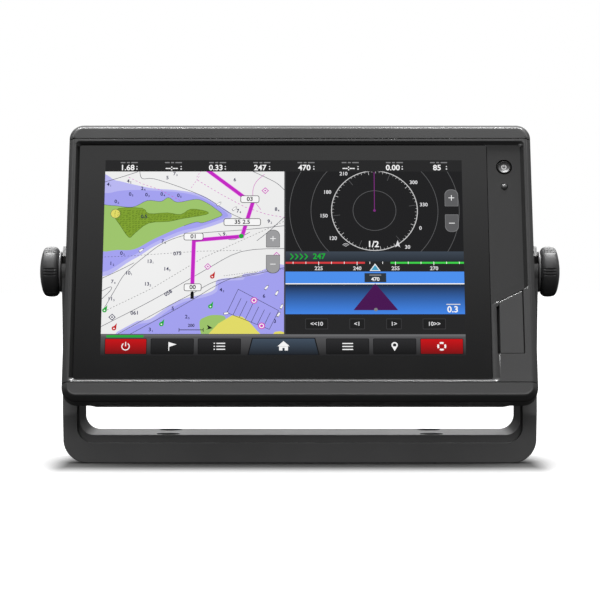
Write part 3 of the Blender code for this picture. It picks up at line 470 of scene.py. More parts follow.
def recess_tool():
    """The dished recess round the glass and the control column, with a rolled upper edge."""

    def outline(left, right, half_height, land_left, lift):
        land = [(x, land_edge(x) + lift) for x in (land_left, right)]
        return [(left, -half_height), (land_left, -half_height), *land, (right, half_height), (left, half_height)]

    face = outline(-124.4, 124.3, 70.2, LAND_LEFT, 0)
    floor = outline(-122.2, 121.9, 68.6, LAND_FLOOR_LEFT, 0.5)
    rings = []
    roll = ((-1, 0.22, 0.4), (0, 0.22, 0.4), (0.04, 0.13, 0.24), (0.1, 0.06, 0.12), (0.2, 0.015, 0.04), (0.32, 0, 0))
    for down, flare, dip in roll:
        share = max(0, down) / (FLOOR - FACE)
        here = [(a[0] + (b[0] - a[0]) * share, a[1] + (b[1] - a[1]) * share) for a, b in zip(face, floor)]
        dipped = [(x, z - dip) if i in (2, 3) else (x, z) for i, (x, z) in enumerate(here)]
        rings.append((FACE + down, rounded(grown(dipped, flare), 2.0, 8)))
    rings.append((FLOOR, rounded(floor, 1.1, 8)))
    return loft("recess", rings)


def door_outline(grow, drop=0.0):
    left, right, bottom = DOOR_LOW.x - grow, DOOR_HIGH.x + grow, DOOR_LOW.z - grow
    rise = grow * math.hypot(1, LAND_SLOPE) - 0.2 - drop
    return [(left, bottom), (right, bottom), (right, land_edge(right) + rise), (left, land_edge(left) + rise)]


KEY_LOW, KEY_HIGH = leaned_box("power_key")
KEY_AT = ((KEY_LOW.x + KEY_HIGH.x) / 2, (KEY_LOW.z + KEY_HIGH.z) / 2)
SENSOR_LOW, SENSOR_HIGH = leaned_box("light_sensor_lens")
SENSOR_AT = ((SENSOR_LOW.x + SENSOR_HIGH.x) / 2, (SENSOR_LOW.z + SENSOR_HIGH.z) / 2)


def banded(name, low, high):
    """The part of the front shell between two heights, with its edges just broken."""
    reach = HALF_WIDTH + 5
    piece = whole_face(name)
    carve(piece, [box("band", (-reach, FACE - 5, low), (reach, BACK + 5, high))], "INTERSECT")
    return soften(piece, 0.09, 2, 50)

def paint(piece, *choices):
    """Adds materials, each for the faces whose middle in the display's frame and normal pass its test."""
    back = LEANED.inverted()
    for n, (material, wanted) in enumerate(choices):
        piece.data.materials.append(material)
        for face in piece.data.polygons:
            if wanted(back @ face.center / MM, face.normal):
                face.material_index = n + 1

def in_column(at, _):
    return at.x > 103.5 and abs(at.y - FLOOR) < 0.05

# picks the recess's side-wall faces, which get painted shade
def on_shaded_side_wall(at, normal):
    beside = -125 < at.x < -121.5 or (121 < at.x < 125 and at.z > land_edge(124.3))
    return beside and FACE + 0.15 < at.y < FLOOR - 0.05 and abs(normal.x) > 0.6

def make_bezel():
    bezel = banded("bezel", BOTTOM_HIGH.z + GAP, TOP_LOW.z - GAP)
    inner = face_outline(TRIM_WALL + GAP)
    carve(bezel, [loft("core", [(FACE + TRIM_THICK + GAP, inner), (BACK - 0.02, inner)])], "UNION")
    glass = rectangle(GLASS_LEFT - 0.22, GLASS_LOW.z - 0.22, GLASS_HIGH.x + 0.22, GLASS_HIGH.z + 0.22)
    tools = [
        recess_tool(),
        prism("glass_seat", rounded(glass, 1.4, 6), FLOOR - 1, GLASS_HIGH.y + 0.3),
        box("module_room", (-115, FLOOR, -65), (101, BACK + 1, 66)),
        spun("key_hole", ((4.55, FACE), (4.4, FLOOR + 0.35), (4.4, BACK + 1)), KEY_AT),
        spun("sensor_hole", ((1.95, FACE), (1.95, BACK + 1)), SENSOR_AT, steps=32),
        prism("door_pocket", rounded(door_outline(GAP), 0.5, 4), FACE - 1, DOOR_HIGH.y + GAP),
        box("notch", (DOOR_LOW.x - 1.6, FACE - 1, DOOR_LOW.z - 0.25), (DOOR_LOW.x + 0.5, DOOR_HIGH.y, -27.4)),
        prism("bay", rounded(rectangle(108.9, -54, 118, -27.2), 1.5, 4), FACE, FACE + 7),
        box("slit_low", (112.9, FACE, -53.2), (114.3, BACK + 1, -41.6)),
        box("slit_high", (112.9, FACE, -39.7), (114.3, BACK + 1, -28.1)),
    ]
    carve(bezel, tools)
    soften(bezel, 0)
    place(bezel, CASE, "display", ["front_bezel"])
    # the recess's side walls get the painted-shade finish
    paint(bezel, (COLUMN, in_column), (WALL_SHADE, on_shaded_side_wall))


def make_trims():
    past = HALF_HEIGHT + 5
    inner = face_outline(TRIM_WALL)
    for name, low, high in (("top_trim", TOP_LOW.z + 0.12, past), ("bottom_trim", -past, BOTTOM_HIGH.z - 0.12)):
        trim = banded(name + "_cap", low, high)
        carve(trim, [loft("hollow", [(FACE + TRIM_THICK, inner), (BACK + 1, inner)])])
        soften(trim, 0)
        place(trim, CASE, "display", [name])


def make_controls():
    crown = KEY_LOW.y
    dish = [(0, 1.2), (0.9, 1.14), (1.6, 0.98), (2.4, 0.62), (3.0, 0.22), (3.25, 0.06), (3.42, 0), (3.6, 0.08)]
    dish += [(3.8, 0.35), (4.0, 0.8), (4.1, 1.3), (4.1, 3), (4.9, 3.1), (4.9, 3.6), (0, 3.6)]
    key = soften(spun("power_key_cap", [(r, crown + down) for r, down in dish], KEY_AT, steps=72), 0)
    place(key, KEY, "power_key", ["power_key"])
    paint(key, (KEY_RIM, lambda at, _: math.hypot(at.x - KEY_AT[0], at.z - KEY_AT[1]) > 3.05))
    bm = bmesh.new()
    u, v = KEY_AT[0], KEY_AT[1] + 0.4
    bar = rectangle(u - 0.23, v + 0.35, u + 0.23, v + 1.75)
    for outline in (ring_band((u, v), 0.95, 1.45, 125, 415, 40), bar):
        add_plate(bm, outline, crown + 0.9, crown + 1.3)
    glow = lit("key_symbol_light", linear(238, 238, 238), strength=0.75)
    place(held("power_symbol", bm), glow, "power_key", ["power_key_light_pipe"])
    radius, front, rim = 1.68, FLOOR - 0.75, FLOOR + 0.35
    turns = [math.radians(d) for d in range(10, 91, 10)]
    dome = [(0, front)] + [(radius * math.sin(a), rim - (rim - front) * math.cos(a)) for a in turns]
    dome += [(radius, FLOOR + 2.5), (0, FLOOR + 2.5)]
    lens = soften(spun("sensor_dome", dome, SENSOR_AT, steps=40), 0)
    place(lens, LENS, "display", ["light_sensor_lens"])


def ring_band(centre, inner, outer, start, end, steps):
    """A curved strip between two radii, in degrees anticlockwise."""
    angles = [math.radians(start + (end - start) * n / steps) for n in range(steps + 1)]
    out = [(centre[0] + outer * math.cos(a), centre[1] + outer * math.sin(a)) for a in angles]
    back = [(centre[0] + inner * math.cos(a), centre[1] + inner * math.sin(a)) for a in reversed(angles)]
    return out + back


def add_plate(bm, polygon, front, back):
    """A thin plate facing the reader, in the display's frame."""
    near = [bm.verts.new((x, front, z)) for x, z in polygon]
    far = [bm.verts.new((x, back, z)) for x, z in polygon]
    bm.faces.new(near)
    bm.faces.new(list(reversed(far)))
    for i in range(len(near)):
        bm.faces.new((near[i - 1], near[i], far[i], far[i - 1]))


def make_door():
    roll = ((0, 0.85), (0.03, 0.62), (0.11, 0.4), (0.25, 0.2), (0.45, 0.06), (0.75, 0), (DOOR_HIGH.y - FACE, 0))
    door = loft("card_door_panel", [(FACE + down, rounded(door_outline(0, drop), 0.35, 3)) for down, drop in roll])
    pin = (DOOR_HIGH.x - 1.5, FACE + 1.5)
    rim = (DOOR_LOW.z - 1, 0)
    edge = rectangle(pin[0], FACE - 1, DOOR_HIGH.x + 1, DOOR_HIGH.y + 1)
    square = prism("hinge_square", edge, *rim, "Z")
    barrel = spun("hinge_round", ((1.75, rim[0] - 1), (1.75, rim[1] + 1)), pin, "Z", steps=96)
    carve(square, [barrel])
    relief = box("relief", (pin[0] - 1.6, FACE + 0.9, land_edge(pin[0] - 1.5)), (DOOR_HIGH.x + 1, 0, 0))
    bore = spun("bore", ((0.8, DOOR_LOW.z - 1), (0.8, -28)), pin, "Z", steps=24)
    carve(door, [square, relief, bore])
    soften(door, 0.18, 3, 40)
    place(door, CASE, "card_door", ["card_door"])


# ---------------------------------------------------------------- bracket
BRACKET_LOW, BRACKET_HIGH = (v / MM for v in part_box("bail_bracket"))
PIVOT_Z = PIVOT.z / MM


def arc(centre, radius, start, end, steps):
    angles = [start + (end - start) * i / steps for i in range(steps + 1)]
    return [(centre[0] + radius * math.cos(a), centre[1] + radius * math.sin(a)) for a in angles]


def bracket_front(shrink=0.0):
    """The U seen from the front. Shrink draws its outer and inner edges together."""
    half, inside, corner, hollow, floor = 129.3 - shrink, 120.7 + shrink, 13.0 - shrink, 8.0 + shrink, 15.1 - shrink
    top = PIVOT_Z + 20
    lean = 1.6 * top / PIVOT_Z
    outside = [(half + lean, top)] + arc((half - corner, corner + shrink), corner, 0, -math.pi / 2, 28)
    inner = arc((inside - hollow, floor + hollow), hollow, -math.pi / 2, 0, 24) + [(inside, top)]
    return outside + [(-x, z) for x, z in reversed(outside)] + [(-x, z) for x, z in reversed(inner)] + inner


def bracket_side():
    """The bracket seen from its side, with the hook at the top of each arm."""
    front, rear, low, high = BRACKET_LOW.y, BRACKET_HIGH.y, 26.0, 90.0
    arm_front, arm_rear, hook, ear = -7.8, 14.0, 8.5, 5.6
    heights = [low + (high - low) * n / 32 for n in range(1, 33)]

    def flare(edge, base, z):
        rest = 1 - (z - low) / (high - low)
        return edge + (base - edge) * rest**2

    path = [(front, -1), (rear, -1), (rear, low)] + [(flare(arm_rear, rear, z), z) for z in heights]
    centre = arm_rear - ear
    tangent = math.pi / 4 + math.acos((hook - ear) / (centre * math.sqrt(2)))
    path += arc((centre, PIVOT_Z + centre), ear, 0, tangent, 24)
    path += arc((0, PIVOT_Z), hook, tangent, math.pi + math.acos(-arm_front / hook), 24)
    path += [(flare(arm_front, front, z), z) for z in reversed(heights)] + [(front, low)]
    return path


def make_bracket():
    front, rear = BRACKET_LOW.y, BRACKET_HIGH.y
    rings = []
    roll = ((0, 0.55), (0.08, 0.28), (0.28, 0.08), (0.6, 0))
    for y, shrink in [(front + a, b) for a, b in roll] + [(rear - a, b) for a, b in reversed(roll)]:
        rings.append((y, bracket_front(shrink)))
    bracket = loft("bracket", rings, leaned=False)
    side = prism("side", bracket_side(), -145, 145, "X", leaned=False)
    half, floor, corner = 121.8, 10.9, 9.1
    right = arc((half - corner, floor + corner), corner, -math.pi / 2, 0, 24) + [(half, PIVOT_Z + 40)]
    ledge = right + [(-x, z) for x, z in reversed(right)]
    carve(bracket, [side], "INTERSECT")
    tools = [
        prism("front_ledge", ledge, front - 2, front + 4, leaned=False),
        prism("rear_ledge", ledge, rear - 4, rear + 2, leaned=False),
    ]
    rise = math.radians(125)
    direction, across = (math.cos(rise), math.sin(rise)), (-math.sin(rise), math.cos(rise))
    mouth = [
        (25 * direction[0] + s * 3.3 * across[0], PIVOT_Z + 25 * direction[1] + s * 3.3 * across[1]) for s in (1, -1)
    ]
    slot = mouth[:1] + arc((0, PIVOT_Z), 3.3, rise + math.pi / 2, rise + math.pi * 1.5, 20) + mouth[1:]
    tools.append(prism("slots", slot, -145, 145, "X", leaned=False))
    for low, high in ((3, 24), (26.5, 48.5), (51, 63), (82, 94), (96.5, 114)):
        for sign in (-1, 1):
            for near, far in ((-10.5, 9), (12, 31.5)):
                x0, x1 = sorted((sign * low, sign * high))
                tools.append(prism("cell", rounded(rectangle(x0, near, x1, far), 1.2, 4), -1, 11.9, "Z", leaned=False))
    for x in (-72.5, 72.5):
        for y in (-5, 26):
            tools.append(spun("hole", ((2.6, -5), (2.6, 30)), (x, y), "Z", leaned=False, steps=32))
            tools.append(spun("head", ((6.5, 13.1), (6.5, 30)), (x, y), "Z", leaned=False, steps=48))
    carve(bracket, tools)
    soften(bracket, 0.35, 3, 48)
    place(bracket, BRACKET, "bracket", ["bail_bracket"])


# ---------------------------------------------------------------- knobs


def grooves(angle, share):
    """Three axial grooves at each sixth of the turn, faded out towards the knob's two ends."""
    nearest = (angle + math.pi / 6) % (math.pi / 3) - math.pi / 6
    depth = 0.0
    for n in (-1, 0, 1):
        away = abs(nearest - n * math.radians(7)) / math.radians(2.3)
        if away < 1:
            depth = max(depth, (math.cos(away * math.pi) + 1) / 2)
    fade = max(0.0, min(1.0, (share - 0.08) / 0.08, (0.74 - share) / 0.1))
    return 1 - 0.042 * depth * fade


KNOB_SHAPE = (  # share of the way from the knob's inner face, and share of its radius
    (0, 0.0), (0.0, 0.80), (0.02, 0.87), (0.06, 0.92), (0.12, 0.963), (0.2, 0.988), (0.3, 1.0), (0.45, 1.0),
    (0.58, 0.99), (0.68, 0.968), (0.74, 0.94), (0.78, 0.9), (0.82, 0.84), (0.86, 0.76), (0.9, 0.64), (0.94, 0.5),
    (0.975, 0.32), (0.995, 0.15), (1.0, 0.0),
)
STUD_START, STUD_STEP = 109.0, 0.5

def make_knobs():
    centre = (0, PIVOT_Z)
    for word, side in (("left", -1), ("right", 1)):
        knob_low, knob_high = (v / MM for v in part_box(f"knob_{word}"))
        inside, outside = sorted((knob_low.x, knob_high.x), key=abs)
        thick, radius = abs(outside - inside), (knob_high.z - knob_low.z) / 2
        profile = [(radius * share, inside + side * thick * along) for along, share in KNOB_SHAPE]

        def teeth(angle, along):
            return grooves(angle, abs(along - inside) / thick)

        knob = spun(f"knob_grip_{word}", profile, centre, "X", leaned=False, steps=360, teeth=teeth)
        soften(knob, 0, smooth=40)
        place(knob, GRIP, f"{word}_knob", [f"knob_{word}"])
        washer_low, washer_high = (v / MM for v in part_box(f"knob_washer_{word}"))
        inner, outer = sorted((washer_low.x, washer_high.x), key=abs)
        rim = (washer_high.z - washer_low.z) / 2
        turn = [(3.3, inner), (rim - 0.3, inner), (rim, inner + side * 0.3), (rim, outer - side * 0.3)]
        turn += [(rim - 0.3, outer), (3.3, outer), (3.3, inner)]
        washer = soften(spun(f"washer_{word}", turn, centre, "X", leaned=False), 0)
        place(washer, WASHER, f"{word}_washer", [f"knob_washer_{word}"])
        end = abs(inside) + 1
        count = int((end - STUD_START) / STUD_STEP)
        threads = [(3.0 if n % 2 else 2.6, side * (STUD_START + STUD_STEP * n)) for n in range(count)]
        turn = [(0, side * 108.0), (2.5, side * 108.0), *threads, (0, side * end)]
        stud = soften(spun(f"stud_{word}", turn, centre, "X", leaned=False, steps=40), 0, smooth=50)
        place(stud, STEEL, f"{word}_knob", [f"knob_stud_{word}"])


make_bezel()
make_trims()
make_controls()
make_door()
make_bracket()
make_knobs()

# ---------------------------------------------------------------- glass and picture


def make_glass():
    outline = rectangle(GLASS_LEFT, GLASS_LOW.z, GLASS_HIGH.x, GLASS_HIGH.z)
    roll = ((0, 0.16), (0.05, 0.05), (0.16, 0))
    rings = [(GLASS_LOW.y + down, rounded(grown(outline, -inset), 1.2 - inset, 8)) for down, inset in roll]
    rings.append((GLASS_HIGH.y, rounded(outline, 1.2, 8)))
    glass = soften(loft("glass", rings), 0)
    place(glass, GLASS, "display", ["cover_glass"])


INKS = {
    "dark_pane": (22, 22, 24),
    "data_bar": (32, 32, 33),
    "white": (239, 239, 239),
    "paper": (248, 248, 248),
    "pale_lilac": (186, 184, 243),
    "lilac": (163, 161, 240),
    "island": (157, 196, 107),
    "core": (127, 161, 44),
    "tuft": (78, 106, 22),
    "sand": (227, 220, 102),
    "route": (195, 33, 195),
    "route_edge": (228, 96, 228),
    "navy": (18, 18, 72),
    "line": (70, 70, 82),
    "ink": (12, 12, 14),
    "magenta": (206, 60, 190),
    "red": (196, 26, 30),
    "green": (28, 170, 56),
    "button": (158, 158, 160),
    "button_dark": (92, 92, 94),
    "ring_dim": (92, 92, 94),
    "ring": (205, 205, 205),
    "heading": (128, 40, 128),
    "text": (222, 222, 224),
    "text_dim": (128, 128, 130),
    "route_green": (18, 176, 52),
    "tape_red": (214, 58, 62),
    "tape_green": (60, 208, 72),
    "sky_blue": (74, 143, 238),
    "label_box": (40, 50, 60),
    "pointer": (70, 160, 196),
    "purple": (70, 8, 80),
    "key_dark": (24, 24, 25),
    "key_edge": (62, 62, 64),
    "bar_line": (104, 104, 106),
}
SHADED = {  # the upper colour, the lower colour, and the picture heights they sit at
    "slate": ((58, 68, 80), (34, 41, 50), 54.3, 60.2),
    "road_sky": ((20, 30, 44), (64, 132, 230), 73.4, 90.6),
    "soft_bar": ((84, 84, 86), (30, 30, 31), 103.6, 114.7),
    "soft_key": ((40, 40, 42), (12, 12, 13), 105.0, 113.6),
    "soft_red": ((200, 6, 14), (120, 2, 6), 105.0, 113.6),
    "soft_slate": ((62, 76, 92), (26, 32, 40), 105.0, 113.6),
}
SHEETS = {}
PANE = (0.0, 6.8, 98.9, 102.2)
SPLIT, WIDE, TALL = 99.7, 197, 114.7  # where the right-hand panes start, and the picture's size


def spot(u, v):
    """A place on the picture, from its top left corner."""
    return (PICTURE_LEFT + u, PICTURE_TOP - v)


def sheet(ink, level):
    return SHEETS.setdefault((ink, level), bmesh.new())


def clipped(points, pane):
    """A polygon cut to a rectangle."""
    left, top, right, bottom = pane
    for axis, edge, sign in ((0, left, 1), (0, right, -1), (1, top, 1), (1, bottom, -1)):
        made = []
        for i, here in enumerate(points):
            before = points[i - 1]
            kept, was_kept = ((p[axis] - edge) * sign >= 0 for p in (here, before))
            if kept != was_kept:
                share = (edge - before[axis]) / (here[axis] - before[axis])
                made.append(tuple(before[k] + (here[k] - before[k]) * share for k in (0, 1)))
            if kept:
                made.append(here)
        points = made
        if not points:
            return []
    tidy = [p for i, p in enumerate(points) if math.dist(p, points[i - 1]) > 0.004]
    return tidy if len(tidy) > 2 else []


def patch(ink, level, points, pane=None):
    if pane:
        points = clipped(points, pane)
    if len(points) > 2:
        front = FLOOR - 0.02 * level
        add_plate(sheet(ink, level), [spot(u, v) for u, v in points], front, front + 0.014)


def slab(ink, level, left, top, right, bottom, corner=0.0):
    shape = rectangle(left, top, right, bottom)
    patch(ink, level, rounded(shape, corner, 5) if corner else shape)


def smooth_line(points, steps=6, closed=False):
    """A soft curve through the points."""
    count = len(points)
    made = []
    for i in range(count if closed else count - 1):
        near = [points[(i + k) % count] if closed else points[min(max(i + k, 0), count - 1)] for k in (-1, 0, 1, 2)]
        for n in range(steps):
            t = n / steps
            weights = (
                -0.5 * t + t * t - 0.5 * t**3,
                1 - 2.5 * t * t + 1.5 * t**3,
                0.5 * t + 2 * t * t - 1.5 * t**3,
                -0.5 * t * t + 0.5 * t**3,
            )
            made.append(tuple(sum(w * p[k] for w, p in zip(weights, near)) for k in (0, 1)))
    if not closed:
        made.append(points[-1])
    return made


def stroke(ink, level, points, width, pane=None, dash=0.0):
    """A line of set width, drawn as one short bar for each straight run, or as dashes."""
    travelled = 0.0
    for a, b in zip(points, points[1:]):
        a, b = Vector(a), Vector(b)
        length = (b - a).length
        if length < 1e-6:
            continue
        along = (b - a) / length
        across = Vector((-along.y, along.x)) * width / 2
        spans = []
        if dash:
            place_now = 0.0
            while place_now < length - 1e-6:
                phase = (travelled + place_now) % (2 * dash)
                room = min((dash if phase < dash else 2 * dash) - phase, length - place_now)
                if phase < dash:
                    spans.append((place_now, place_now + room))
                place_now += max(room, 1e-3)
        else:
            spans.append((-width * 0.2, length + width * 0.2))
        travelled += length
        for start, end in spans:
            if end - start > 0.05:
                p, q = a + along * start, a + along * end
                patch(ink, level, [tuple(p - across), tuple(q - across), tuple(q + across), tuple(p + across)], pane)


def ribbon(ink, level, points, width, pane=None):
    """A line of set width as one mitred band."""
    sides = ([], [])
    for i, here in enumerate(points):
        here = Vector(here)
        before = Vector(points[i - 1]) if i else here
        after = Vector(points[i + 1]) if i + 1 < len(points) else here
        u, v = (here - before), (after - here)
        u = u.normalized() if u.length > 1e-9 else v.normalized()
        v = v.normalized() if v.length > 1e-9 else u
        middle = Vector((-u.y, u.x)) + Vector((-v.y, v.x))
        offset = middle * (width / max(0.5, middle.length_squared))
        sides[0].append(tuple(here + offset))
        sides[1].append(tuple(here - offset))
    patch(ink, level, sides[0] + sides[1][::-1], pane)


def ring(ink, level, centre, radius, width, start=0, end=360, steps=96, pane=None):
    """A ring, or part of one; angles run clockwise from the top."""
    for n in range(steps):
        a, b = (math.radians(start + (end - start) * (n + k) / steps) for k in (0, 1))
        r, s = radius - width / 2, radius + width / 2
        points = [
            (centre[0] + q * math.sin(t), centre[1] - q * math.cos(t)) for q, t in ((r, a), (s, a), (s, b), (r, b))
        ]
        patch(ink, level, points, pane)


def disc(ink, level, centre, radius, steps=24, pane=None):
    turns = [2 * math.pi * n / steps for n in range(steps)]
    patch(ink, level, [(centre[0] + radius * math.cos(a), centre[1] + radius * math.sin(a)) for a in turns], pane)


def figures(text, ink, level, u, v, height, turn=0.0, align="CENTER"):
    """Numbers and signs, centred on the place given."""
    curve = bpy.data.curves.new("figures", "FONT")
    curve.body, curve.size, curve.resolution_u = text, height / 0.66, 3
    curve.offset = 0.032 * height
    curve.align_x, curve.align_y, curve.extrude = align, "CENTER", 0.004
    written = bpy.data.objects.new("figures", curve)
    bpy.context.scene.collection.objects.link(written)
    bpy.context.view_layer.update()
    mesh = bpy.data.meshes.new_from_object(written)
    x, z = spot(u, v)
    front = FLOOR - 0.02 * level
    onto = Matrix.Translation((x, front, z)) @ Matrix.Rotation(math.radians(turn), 4, "Y")
    mesh.transform(onto @ Matrix.Rotation(math.pi / 2, 4, "X"))
    sheet(ink, level).from_mesh(mesh)
    bpy.data.objects.remove(written)
    bpy.data.curves.remove(curve)
    bpy.data.meshes.remove(mesh)


def inside_outline(u, v, points):
    odd = False
    for i, (x1, y1) in enumerate(points):
        x0, y0 = points[i - 1]
        if (y0 > v) != (y1 > v) and u < (x1 - x0) * (v - y0) / (y1 - y0) + x0:
            odd = not odd
    return odd


def draw_chart():
    slab("white", 1, *PANE)
    shallow = [(-3, 12.4), (6, 12.2), (15, 14.4), (27, 17), (40, 18), (52, 20.4), (61.5, 26), (70, 32.6), (66, 36.6)]
    shallow += [(53, 41.4), (42, 44.4), (28, 51.2), (16, 59.2), (-3, 66.5)]
    patch("pale_lilac", 2, smooth_line(shallow, 5, True), PANE)
    shallow = [(-3, 25), (4, 19.4), (15.3, 17.9), (29, 18.4), (41, 19.3), (52, 21.8), (61.5, 27.1), (68, 32.5)]
    shallow += [(65.2, 34.9), (52.3, 39.8), (41.2, 42.7), (27.3, 49.5), (15.3, 57.3), (-3, 65)]
    patch("lilac", 3, smooth_line(shallow, 5, True), PANE)
    land = [(-3, 29), (3.7, 27.1), (15.3, 28.1), (23.6, 24.2), (31, 24.7), (35.2, 22.4), (40.2, 25.2), (50.4, 23.4)]
    land += [(56, 25.4), (61.5, 29.3), (64.8, 32.6), (61.5, 34.7), (54.1, 37.4), (50.4, 37), (41.2, 40.4)]
    land += [(27.3, 47.2), (17.1, 53), (7.9, 53.4), (-3, 52.4)]
    shore = smooth_line(land, 4, True)
    patch("island", 4, shore, PANE)
    core = [(7.9, 28.9), (20.8, 28.8), (24.5, 32), (34.7, 31.5), (42.1, 32.5), (47.6, 29.3), (56, 30.6), (56, 32.5)]
    core += [(43, 34.9), (35.6, 36.6), (24.5, 37.6), (17.1, 43.5), (13.9, 46), (8.8, 38.6), (6, 33.9)]
    core = smooth_line(core, 3, True)
    patch("core", 5, core, PANE)
    stroke("line", 5, shore[:56], 0.2, PANE)
    stroke("tuft", 6, core + core[:1], 0.24, PANE)
    seed = 7
    for row in range(14):
        for column in range(30):
            seed = (seed * 1103515245 + 12345) % 2147483648
            du, dv = (seed % 97) / 97 * 0.8, (seed // 97 % 89) / 89 * 0.5
            u, v = 6.6 + 1.7 * column + du, 29.6 + 1.25 * row + dv
            if inside_outline(u, v, core) and inside_outline(u + 0.9, v, core) and inside_outline(u, v + 0.8, core):
                patch("tuft", 6, [(u, v + 0.8), (u + 0.2, v + 0.1), (u + 0.5, v + 0.8)])
                patch("tuft", 6, [(u + 0.5, v + 0.5), (u + 1.0, v), (u + 0.95, v + 0.7)])
    disc("sand", 6, (6.2, 32), 2.5)
    ring("line", 6, (6.2, 32), 2.6, 0.2, steps=32)
    lower = [(102, 67), (93, 65), (85.6, 68), (78.2, 69), (76.3, 70.9), (69, 71.4), (63.4, 72.8), (62.4, 77.7)]
    lower += [(56.9, 80.6), (48.6, 82.6), (43, 84.5), (36.5, 88.4), (27.3, 95.2), (19, 97.2), (14, 106), (102, 106)]
    patch("pale_lilac", 2, smooth_line([(u - 1.2, v - 1.5) for u, v in lower[:-2]] + [(12, 106), (102, 106)], 4, True), PANE)
    patch("lilac", 3, smooth_line(lower, 4, True), PANE)
    patch("island", 4, smooth_line([(53.2, 95.3), (56, 92.6), (60.6, 91.3), (67, 92.3), (66, 98), (62, 106), (55, 104)], 4, True), PANE)
    patch("sand", 5, [(57.5, 103), (63.4, 96.2), (70.8, 91.5), (76.3, 92.3), (80, 95.2), (84.6, 100.6), (87.5, 103.5)], PANE)
    patch("sand", 5, [(92, 103.5), (94, 101), (97, 100.6), (100, 101.6), (100, 104)], PANE)
    lines = (
        [(-1, 98.5), (27, 83), (54, 66.4), (75.4, 54.4), (100, 52.6)],
        [(8, 103), (35.6, 86.5), (48.6, 79.2), (61.5, 71.8), (76, 69.2), (100, 63.6)],
        [(15, 102.8), (37, 90), (50, 82), (60, 75.4), (70, 70.2), (84, 66.6)],
        [(1.4, 87.4), (7, 76.7), (12.5, 67), (22.7, 57.3), (32, 49.9), (43, 45.2), (56, 43.2), (76.3, 41.6), (100, 39)],
        [(-1, 13.4), (8.8, 10.2), (18, 7)],
        [(19, 6.2), (20.4, 11), (27, 11.2), (41, 16), (56, 22.6), (68, 31), (78, 36)],
        [(80, 6), (88, 10), (95, 14), (100, 19)],
        [(-1, 70.4), (9, 65.4), (17, 61)],
        [(84, 48), (91, 42), (100, 33)],
        [(-1, 83), (4.6, 77), (4.4, 75), (-1, 78)],
        [(63, 43.6), (66, 46.4), (72, 47.2), (80, 43)],
    )
    for line in lines:
        stroke("line", 4, smooth_line(line, 4), 0.28, PANE)
    stroke("ink", 4, [(3, 88.4), (27.3, 75.8), (54, 58.4), (76, 47.6), (100, 36)], 0.22, PANE, dash=0.9)
    stroke("line", 4, [(-1, 57.6), (14, 57), (52, 54.2), (76, 53.6)], 0.22, PANE, dash=0.9)
    stroke("line", 4, [(66, 68.6), (84, 66), (100, 64.6)], 0.22, PANE, dash=0.7)
    stroke("magenta", 4, [(51, 12), (64, 20.4), (77.2, 28), (89.3, 32.4), (100, 34.4)], 0.28, PANE, dash=1.1)
    stroke("magenta", 4, [(13, 10.2), (20, 14), (30, 17.6), (46, 26.6)], 0.26, PANE, dash=1.1)
    stroke("magenta", 4, smooth_line([(88, 8.5), (83.4, 13), (81.6, 18.4), (82.4, 24), (86, 29.6)], 5), 0.26, PANE)
    for start in ((50.5, 10.2), (47.6, 16.6)):
        stroke("magenta", 4, [start, (start[0] + 4.4, start[1] - 7)], 0.24, PANE, dash=0.9)
    soundings = (
        (14, 20.4, "0", "5"), (23, 20.8, "0", "3"), (31.4, 20.4, "0", "4"), (40.6, 21.2, "0", "5"), (6.2, 24.8, "0", "2"),
        (10, 55.4, "0", "3"), (4.4, 61.4, "1", "2"), (5.4, 72, "7", "4"), (25.4, 60.2, "13", "1"), (34.6, 64.6, "14", "3"),
        (24.2, 73.4, "13", "2"), (13.8, 67, "10", "1"), (4.6, 82, "11", "5"), (32.4, 48.4, "7", "6"), (66, 44.2, "9", "1"),
        (90.4, 36.6, "9", "2"), (94.4, 29.4, "8", "4"), (64.6, 76.8, "4", "3"), (34.4, 10.6, "5", ""), (71.6, 11.8, "6", ""),
        (12.8, 12.6, "4", "2"), (38.6, 87.6, "5", ""), (26.4, 99.8, "3", "1"), (73.4, 30.4, "7", "4"), (38.2, 8.2, "7", "3"),
        (20.6, 17, "2", "4"), (88, 80.4, "6", ""), (94, 95, "3", ""), (46, 92.4, "2", "5"), (1.8, 14.6, "4", "1"),
    )
    for u, v, whole, tenth in soundings:
        figures(whole, "navy", 5, u, v, 1.9)
        if tenth:
            figures(tenth, "navy", 5, u + 0.8 + 0.6 * len(whole), v + 0.8, 1.1)
    for text, u, v, turn in (("075", 40.6, 55.6, -4), ("058", 36, 78.6, -34), ("061", 18, 90.2, -2), ("0.5", 22, 33.8, 0)):
        figures(text, "navy", 7, u, v, 2.0, turn=turn)
    course = [(56.4, 6.0), (76.5, 22), (81.7, 25), (78.2, 37), (75.9, 45.4), (49.5, 47.8), (49, 74)]
    ribbon("route_edge", 6, course, 2.3, PANE)
    ribbon("route", 7, course, 1.75, PANE)
    for u, v, width, text in ((80, 23.4, 10.4, "03"), (75.9, 37, 20.4, "35 2.5"), (49.3, 45.6, 10.8, "01"), (49.2, 75.3, 9.6, "00")):
        slab("ink", 8, u - width / 2, v - 2.2, u + width / 2, v + 2.2, 1.2)
        slab("paper", 9, u - width / 2 + 0.34, v - 1.86, u + width / 2 - 0.34, v + 1.86, 0.9)
        figures(text, "ink", 10, u, v, 2.3)
    disc("green", 8, (75.4, 45.3), 1.35)
    disc("ink", 8, (49, 78.6), 0.9)
    patch("ink", 8, [(48.1, 82), (48.1, 79), (49, 77.3), (49.9, 79), (49.9, 82)])
    for ink, u, v in (("red", 59.8, 69), ("red", 7, 99), ("green", 1.6, 88.6), ("green", 32.6, 96.6), ("green", 59, 86.4)):
        disc(ink, 7, (u, v), 1.25, pane=PANE)
        patch(ink, 7, [(u - 0.3, v - 0.9), (u + 1.5, v - 3), (u + 1.2, v - 0.2)], PANE)
        disc("paper", 8, (u, v + 0.1), 0.42, 12, PANE)
